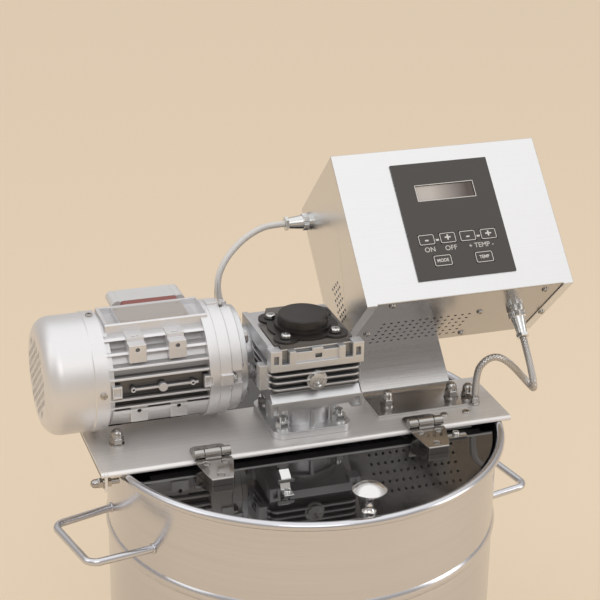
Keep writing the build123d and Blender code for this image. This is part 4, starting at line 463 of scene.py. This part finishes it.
# %% Braid
strands = 7.0
painted_hollow_shade = (0.22, 0.21, 0.20)
crown_tone = (0.66, 0.64, 0.62)
braid = Finish("braid", (0.74, 0.71, 0.67), Metallic=1.0)
unwrapped_place = braid.node("ShaderNodeTexCoord", out="UV")
once_round = braid.axis("X", unwrapped_place)
length_along = braid.axis("Y", unwrapped_place)
one_way = (once_round + length_along) * strands
other_way = (once_round - length_along) * strands
one_crown = 1.0 - abs(one_way % 1.0 - 0.5) * 2.0
other_crown = 1.0 - abs(other_way % 1.0 - 0.5) * 2.0
over = (math.floor(one_way) + math.floor(other_way)) % 2.0 > 0.5
crown = one_crown * over + other_crown * (1.0 - over)
# Painted shade: the strands' edges and the gaps between them take the dark tone.
braid.feed("Base Color", braid.tones(braid.span(crown, 0.0, 0.5, 0, 1), painted_hollow_shade, crown_tone))
braid.feed("Roughness", braid.span(crown, 0.0, 1.0, 0.5, 0.28))
braid.relief(crown, 0.0004)
finishes["braid"] = braid.material
print("braid of", 2 * strands, "strands")

# %% [markdown]
# Every node of the part takes the finish of its slot. The slot is written in the imported record, so
# the record says who wears what. A few pieces differ from the rest of their slot: the connection box
# on the motor is a cooler grey, the base of the control box and its bracket are darker and glossier
# copies of the steel of its face, whose darker tone is painted shade under the box, and the screws in
# the lid are plated.

# %% Dress the part
own_finish = {
    "terminal_box": "terminal_paint", "terminal_lid": "terminal_paint",
    "box_base": "base_steel", "box_bracket": "bracket_steel", "lid_screws": "zinc_plate",
}
for name, node in nodes.items():
    node.data.materials.clear()
    node.data.materials.append(finishes[own_finish.get(name, slot_of[name])])
print("dressed", len(nodes))

# %% [markdown]
# The leads cross open air. The grey one runs from the motor's gland to the left side of the control
# box. A real lead bends smoothly from end to end, so its line is one NURBS spline through the points
# of its route, with its order set after the points, and a round bevel makes the line a tube.


# %% Grey lead
def nurbs_line(name, points):
    line = bpy.data.curves.new(name, "CURVE")
    line.dimensions = "3D"
    spline = line.splines.new("NURBS")
    spline.points.add(len(points) - 1)
    for point, at in zip(spline.points, points):
        point.co = (*at, 1.0)
    spline.order_u = 3
    spline.use_endpoint_u = True
    spline.resolution_u = 14
    return line


motor_lead_points = [
    (-0.0860, 0.1240, 0.4906), (-0.0670, 0.1240, 0.4906), (-0.0530, 0.1250, 0.5031),
    (-0.0490, 0.1245, 0.5206), (-0.0515, 0.1240, 0.5396), (-0.0565, 0.1240, 0.5586),
    (-0.0545, 0.1265, 0.5766), (-0.0425, 0.1320, 0.5946), (-0.0230, 0.1390, 0.6091),
    (-0.0040, 0.1475, 0.6151), (0.0116, 0.15233, 0.61697), (0.0286, 0.15233, 0.61697),
]
grey_line = nurbs_line("grey_lead", motor_lead_points)
grey_line.bevel_depth = 0.0035
grey_line.bevel_resolution = 5
grey_line.use_fill_caps = True
grey_lead = show("grey_lead", grey_line)
grey_line.materials.append(finishes["lead_grey"])
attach(grey_lead, "base")
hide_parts("motor_lead")
print("grey lead", len(motor_lead_points), "points")

# %% [markdown]
# The braided lead drops from the box, folds back and up, and goes over into the collar on the bridge
# plate. The pattern of its braid needs a UV map of its own, so this tube is a mesh, not a bevelled
# curve. Its line is again one spline, and Blender gives that line's own points once the curve is
# turned into a mesh with no bevel.


# %% Line of the braided lead
def turned_to_mesh(name, data):
    """The mesh that a curve or a text becomes, with the object that held it taken away."""
    holder = show(name, data)
    bpy.context.view_layer.update()
    seen = holder.evaluated_get(bpy.context.evaluated_depsgraph_get())
    mesh = bpy.data.meshes.new_from_object(seen)
    bpy.data.objects.remove(holder)
    return mesh


sensor_lead_points = [
    (0.2503, -0.00741, 0.51948), (0.2503, -0.01722, 0.50949), (0.2499, -0.0369, 0.4864),
    (0.2504, -0.0410, 0.4763), (0.2534, -0.0346, 0.4698), (0.2531, -0.0251, 0.4703),
    (0.2456, -0.0204, 0.4793), (0.2325, -0.0229, 0.4945), (0.2185, -0.0255, 0.5068),
    (0.2075, -0.0250, 0.5100), (0.1968, -0.0240, 0.5046), (0.1904, -0.0215, 0.4916),
    (0.1904, -0.0215, 0.4636),
]
braid_line = turned_to_mesh("braid_route", nurbs_line("braid_route", sensor_lead_points))
braid_path = [vertex.co.copy() for vertex in braid_line.vertices]
print("braided lead", len(braid_path), "points")

# %% [markdown]
# A circle is set square to the line at each of those points and bridged to the one before. Each circle
# is turned only as far as the line bends there, so the tube doesn't twist. The length travelled so far
# is kept with each vertex, because the UV map needs it.

# %% Tube of the braided lead
braid_radius = 0.0038
sides = 20
once_round_length = 2 * math.pi * braid_radius
shape = bmesh.new()
seat = {}
facing = (braid_path[1] - braid_path[0]).to_track_quat("Z", "Y")
travelled = 0.0
last_ring = None
for i, at in enumerate(braid_path):
    ahead = braid_path[min(i + 1, len(braid_path) - 1)] - braid_path[max(i - 1, 0)]
    facing = (facing @ Vector((0, 0, 1))).rotation_difference(ahead) @ facing
    travelled += (at - braid_path[i - 1]).length if i else 0.0
    placing = Matrix.Translation(at) @ facing.to_matrix().to_4x4()
    ring = bmesh.ops.create_circle(shape, segments=sides, radius=braid_radius, matrix=placing)["verts"]
    for k, vertex in enumerate(ring):
        seat[vertex] = (k / sides, travelled / once_round_length)
    rims = list({edge for vertex in ring for edge in vertex.link_edges})
    if last_ring:
        bmesh.ops.bridge_loops(shape, edges=last_ring + rims)
    last_ring = rims
bmesh.ops.holes_fill(shape, edges=shape.edges)
bmesh.ops.recalc_face_normals(shape, faces=shape.faces)
print("tube", len(braid_path), "rings", round(travelled, 4), "m")

# %% [markdown]
# The UV map is the tube rolled out flat. The last strip of faces joins the end of the turn to its
# start, so there the start counts as one whole turn, and the pattern runs on over the seam.

# %% Braided lead
unwrapped = shape.loops.layers.uv.new("round_and_along")
for face in shape.faces:
    face.smooth = len(face.verts) == 4
    turns = [seat[vertex][0] for vertex in face.verts]
    crosses = max(turns) > 0.7 and min(turns) < 0.01
    for loop in face.loops:
        u, v = seat[loop.vert]
        loop[unwrapped].uv = (u + 1.0 if crosses and u < 0.01 else u, v)
braided_lead = show("braided_lead", mesh_of("braided_lead", shape))
braided_lead.data.materials.append(finishes["braid"])
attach(braided_lead, "base")
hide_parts("sensor_lead")
print("braided lead", len(braided_lead.data.polygons), "faces")

# %% [markdown]
# Real edges are never razor sharp: sheet is folded round a radius and castings are drawn from a mould.
# A narrow round on each edge catches a line of light. The part's own meshes stay as they are, so a
# copy is merged, its flat faces are joined, and a Bevel modifier rounds the edges sharper than the
# angle. Normals weighted by area keep the flats flat.


# %% Softened edges
def softened(node, width):
    shape = bmesh.new()
    shape.from_mesh(nodes[node].data)
    bmesh.ops.remove_doubles(shape, verts=shape.verts, dist=2e-6)
    bmesh.ops.dissolve_limit(shape, angle_limit=math.radians(0.5), verts=shape.verts, edges=shape.edges)
    mesh = mesh_of(node + "_soft", shape)
    mesh.shade_smooth()
    mesh.materials.append(nodes[node].data.materials[0])
    piece = show(node + "_soft", mesh)
    rounding = piece.modifiers.new("rounded_edges", "BEVEL")
    rounding.width = width
    rounding.segments = 2
    rounding.limit_method = "ANGLE"
    rounding.angle_limit = math.radians(38.0)
    rounding.use_clamp_overlap = False
    steady = piece.modifiers.new("steady_flats", "WEIGHTED_NORMAL")
    steady.keep_sharp = True
    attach(piece, body_of[node])
    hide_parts(node)
    return piece


edge_rounds = {
    "box_shell": 0.0008, "bridge_plate": 0.0004, "box_bracket": 0.0005,
    "gearbox_housing": 0.0005, "output_flange": 0.0006, "input_flange": 0.0005,
    "motor_frame": 0.0005, "front_shield": 0.0006, "terminal_gasket": 0.0006,
    "lid_leaves": 0.0005, "plate_leaves": 0.0005, "lid_tab": 0.0003,
}
for node, width in edge_rounds.items():
    piece = softened(node, width)
    print(node, len(piece.data.polygons), "faces")

# %% [markdown]
# The panel lies on the tilted face of the control box, so its print is drawn flat and then carried
# there by one matrix: along the panel, up the panel, out of the panel. The same matrix, turned round,
# measures where a key or the film lies on the panel.

# %% The panel's place
box_tilt = math.radians(44.5)
box_corner = Vector((box_left, -0.0327, 0.5899))
panel = Matrix.Translation(box_corner) @ Matrix.Rotation(math.pi / 2 - box_tilt, 4, "X")


def on_panel(node):
    """The lowest and highest place of a node along, up and out of the panel."""
    flat = panel.inverted()
    places = [flat @ vertex.co for vertex in nodes[node].data.vertices]
    return [(min(axis), max(axis)) for axis in zip(*places)]


film_top = on_panel("overlay")[2][1]
print("film stands", round(film_top, 4), "m off the box")

# %% [markdown]
# Print is a thin layer of pale ink. Lettering starts as text, which is made a mesh before it is placed,
# with just enough depth to lie on the film. A piece of print rides on what it is printed on, so a
# key's sign moves with the key.

# %% Lettering
ink_depth = 0.00006


def fitted(name, mesh, worn, body="base"):
    """Shows a new piece in its finish, on the body that carries it."""
    mesh.materials.clear()
    mesh.materials.append(finishes[worn])
    piece = show(name, mesh)
    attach(piece, body)
    return piece


def lettering(name, words, place, body="base", size=0.0078, widen=1.0, bold=0.0):
    text = bpy.data.curves.new(name, "FONT")
    text.body = words
    text.size = size
    text.align_x = "CENTER"
    text.align_y = "CENTER"
    text.offset = bold
    text.extrude = ink_depth / 2
    text.resolution_u = 4
    mesh = turned_to_mesh(name + "_text", text)
    off_film = Matrix.Translation((0, 0, ink_depth / 2))
    mesh.transform(panel @ Matrix.Translation(place) @ off_film @ Matrix.Diagonal((widen, 1.0, 1.0, 1.0)))
    return fitted(name, mesh, "panel_ink", body)


lettering("on_word", "ON", (0.0827, 0.0534, film_top))
lettering("off_word", "OFF", (0.1065, 0.0532, film_top))
lettering("temperature_word", "+ TEMP -", (0.1408, 0.0528, film_top), widen=0.95)
for name, across, up in (("speed_link", 0.09345, 0.0648), ("time_link", 0.13995, 0.0645)):
    lettering(name, "-", (across, up, film_top), size=0.0130, widen=0.9, bold=0.0004)
print("words and links printed")

# %% [markdown]
# A thin frame with round corners goes round each key and round the display. A flat grid of one face has
# its corners bevelled, an inset leaves the rim, and the rim is drawn up by the depth of the ink.


# %% Printed frames
def thickened(shape, depth):
    """Draws every face up, and keeps the faces below so that the piece is closed."""
    drawn = bmesh.ops.extrude_face_region(shape, geom=shape.faces[:], use_keep_orig=True)["geom"]
    upper = [item for item in drawn if isinstance(item, bmesh.types.BMVert)]
    bmesh.ops.translate(shape, verts=upper, vec=(0, 0, depth))
    bmesh.ops.recalc_face_normals(shape, faces=shape.faces)


def flat_sheet(width, height):
    shape = bmesh.new()
    bmesh.ops.create_grid(shape, x_segments=1, y_segments=1, size=0.5,
                          matrix=Matrix.Diagonal((width, height, 1.0, 1.0)))
    return shape


def outline(name, width, height, line, corner, place, body="base"):
    shape = flat_sheet(width, height)
    bmesh.ops.bevel(shape, geom=shape.verts[:], offset=corner, segments=5, profile=0.5,
                    affect="VERTICES", material=-1)
    rim = bmesh.ops.inset_region(shape, faces=shape.faces[:], thickness=line,
                                 use_boundary=True, use_even_offset=True)["faces"]
    middle = [face for face in shape.faces if face not in rim]
    bmesh.ops.delete(shape, geom=middle, context="FACES_ONLY")
    thickened(shape, ink_depth)
    mesh = mesh_of(name, shape)
    mesh.transform(panel @ Matrix.Translation(place))
    return fitted(name, mesh, "panel_ink", body)


window_frame = outline("window_line", 0.0672, 0.0192, 0.0008, 0.0004, (0.11675, 0.11875, film_top))
print("window frame", len(window_frame.data.polygons), "faces")

# %% [markdown]
# The keys are real pieces of the part, and each is measured on the panel, so its frame and its sign sit
# in its middle whatever its size. Signs are larger and bolder than words.

# %% Keys
key_signs = {
    "speed_minus_key": "-", "speed_plus_key": "+", "time_minus_key": "-", "time_plus_key": "+",
    "mode_key": "MODE", "temperature_key": "TEMP",
}
word_style = {"size": 0.0052, "widen": 0.9, "bold": 0.00012}
sign_style = {"size": 0.0115, "widen": 1.15, "bold": 0.0003}
frame_inset = 0.0003
frame_line = 0.0007
frame_corner = 0.0016
for key, sign in key_signs.items():
    (left, right), (low, high), (_, key_top) = on_panel(key)
    middle = ((left + right) / 2, (low + high) / 2, key_top)
    outline(key + "_line", right - left - 2 * frame_inset, high - low - 2 * frame_inset,
            frame_line, frame_corner, middle, body_of[key])
    lettering(key + "_sign", sign, middle, body_of[key], **(word_style if len(sign) > 1 else sign_style))
print("printed", len(key_signs), "keys")

# %% [markdown]
# Each key has a little room round it in the film, and what lies under it would show there as a pale
# line. On such a panel the film's dark lower layer runs on under the keys, so one thin dark sheet lies
# behind all six.

# %% Dark layer behind the keys
layer_place = (0.1166, 0.0520, 0.00002)
layer_depth = 0.00010
shape = flat_sheet(0.0960, 0.0420)
thickened(shape, layer_depth)
layer = mesh_of("key_backing", shape)
layer.transform(panel @ Matrix.Translation(layer_place))
fitted("key_backing", layer, "key_film")
print("dark layer", len(layer.polygons), "faces")

# %% [markdown]
# The plugs of the two leads screw on by a knurled ring. Each ring starts as a short cylinder of many
# sides. Every second edge along it is moved outwards, which leaves a row of teeth to grip, and both
# ends are bevelled.

# %% Knurled rings
ring_radius = 0.0089
ring_length = 0.0064
ring_off_box = 0.0030
teeth = 28
tooth_rise = 1.06


def knurled_ring(name, place):
    shape = bmesh.new()
    bmesh.ops.create_cone(shape, cap_ends=True, segments=2 * teeth, radius1=ring_radius,
                          radius2=ring_radius, depth=ring_length,
                          matrix=Matrix.Translation((0, 0, ring_length / 2)))
    ends = [edge for edge in shape.edges if abs(edge.verts[0].co.z - edge.verts[1].co.z) < 1e-6]
    for vertex in shape.verts:
        step = round(math.atan2(vertex.co.y, vertex.co.x) / (math.pi / teeth))
        if step % 2:
            vertex.co.xy *= tooth_rise
    bmesh.ops.bevel(shape, geom=ends, offset=0.0006, segments=2, profile=0.5, affect="EDGES", material=-1)
    bmesh.ops.recalc_face_normals(shape, faces=shape.faces)
    mesh = mesh_of(name, shape)
    mesh.transform(place @ Matrix.Translation((0, 0, ring_off_box)))
    return fitted(name, mesh, "zinc_plate")


out_of_left = Matrix.Rotation(-math.pi / 2, 4, "Y")
out_of_underside = Matrix.Rotation(math.pi / 2, 4, "X")
motor_plug_at = panel @ Matrix.Translation((0.0, 0.149, -0.113)) @ out_of_left
sensor_plug_at = panel @ Matrix.Translation((0.1917, 0.0, -0.0674)) @ out_of_underside
for name, place in (("motor_plug_ring", motor_plug_at), ("sensor_plug_ring", sensor_plug_at)):
    print(name, len(knurled_ring(name, place).data.polygons), "faces")

# %% [markdown]
# The handles are welded to the drum. A weld bead is a ring round the rod's foot: a small circle spun
# once about the rod, with every second step of the spin drawn in a little, which is the ripple that a
# welder's hand leaves.

# %% Weld beads
bead_radius = 0.0014
rod_reach = 0.0042
spin_steps = 36


def weld_bead(name, at, axis):
    shape = bmesh.new()
    standing = Matrix.Translation((rod_reach, 0, 0)) @ Matrix.Rotation(math.pi / 2, 4, "X")
    bead = bmesh.ops.create_circle(shape, segments=10, radius=bead_radius, matrix=standing)
    bmesh.ops.spin(shape, geom=bead["verts"] + shape.edges[:], cent=(0, 0, 0), axis=(0, 0, 1),
                   angle=2 * math.pi, steps=spin_steps, use_merge=True)
    bmesh.ops.remove_doubles(shape, verts=shape.verts, dist=1e-6)
    bmesh.ops.recalc_face_normals(shape, faces=shape.faces)
    for vertex in shape.verts:
        step = round(math.atan2(vertex.co.y, vertex.co.x) / (2 * math.pi / spin_steps))
        if step % 2:
            vertex.co.xy *= 0.96
            vertex.co.z *= 0.8
    for face in shape.faces:
        face.smooth = True
    mesh = mesh_of(name, shape)
    mesh.transform(Matrix.Translation(at) @ Vector(axis).to_track_quat("Z", "Y").to_matrix().to_4x4())
    return fitted(name, mesh, "drum_steel")


foot_half = 0.0479
foot_out = 0.2015
for side, angle, height in (("left", 192.7, 0.3800), ("right", 10.1, 0.3277)):
    turn = Matrix.Rotation(math.radians(angle), 4, "Z")
    for end, way in (("back", -1), ("front", 1)):
        foot = turn @ Vector((foot_out, foot_half * way, height))
        outward = turn.to_3x3() @ Vector((0.98, 0.08 * way, 0.0))
        weld_bead(f"{side}_handle_weld_{end}", foot, outward)
print("welded two handles")
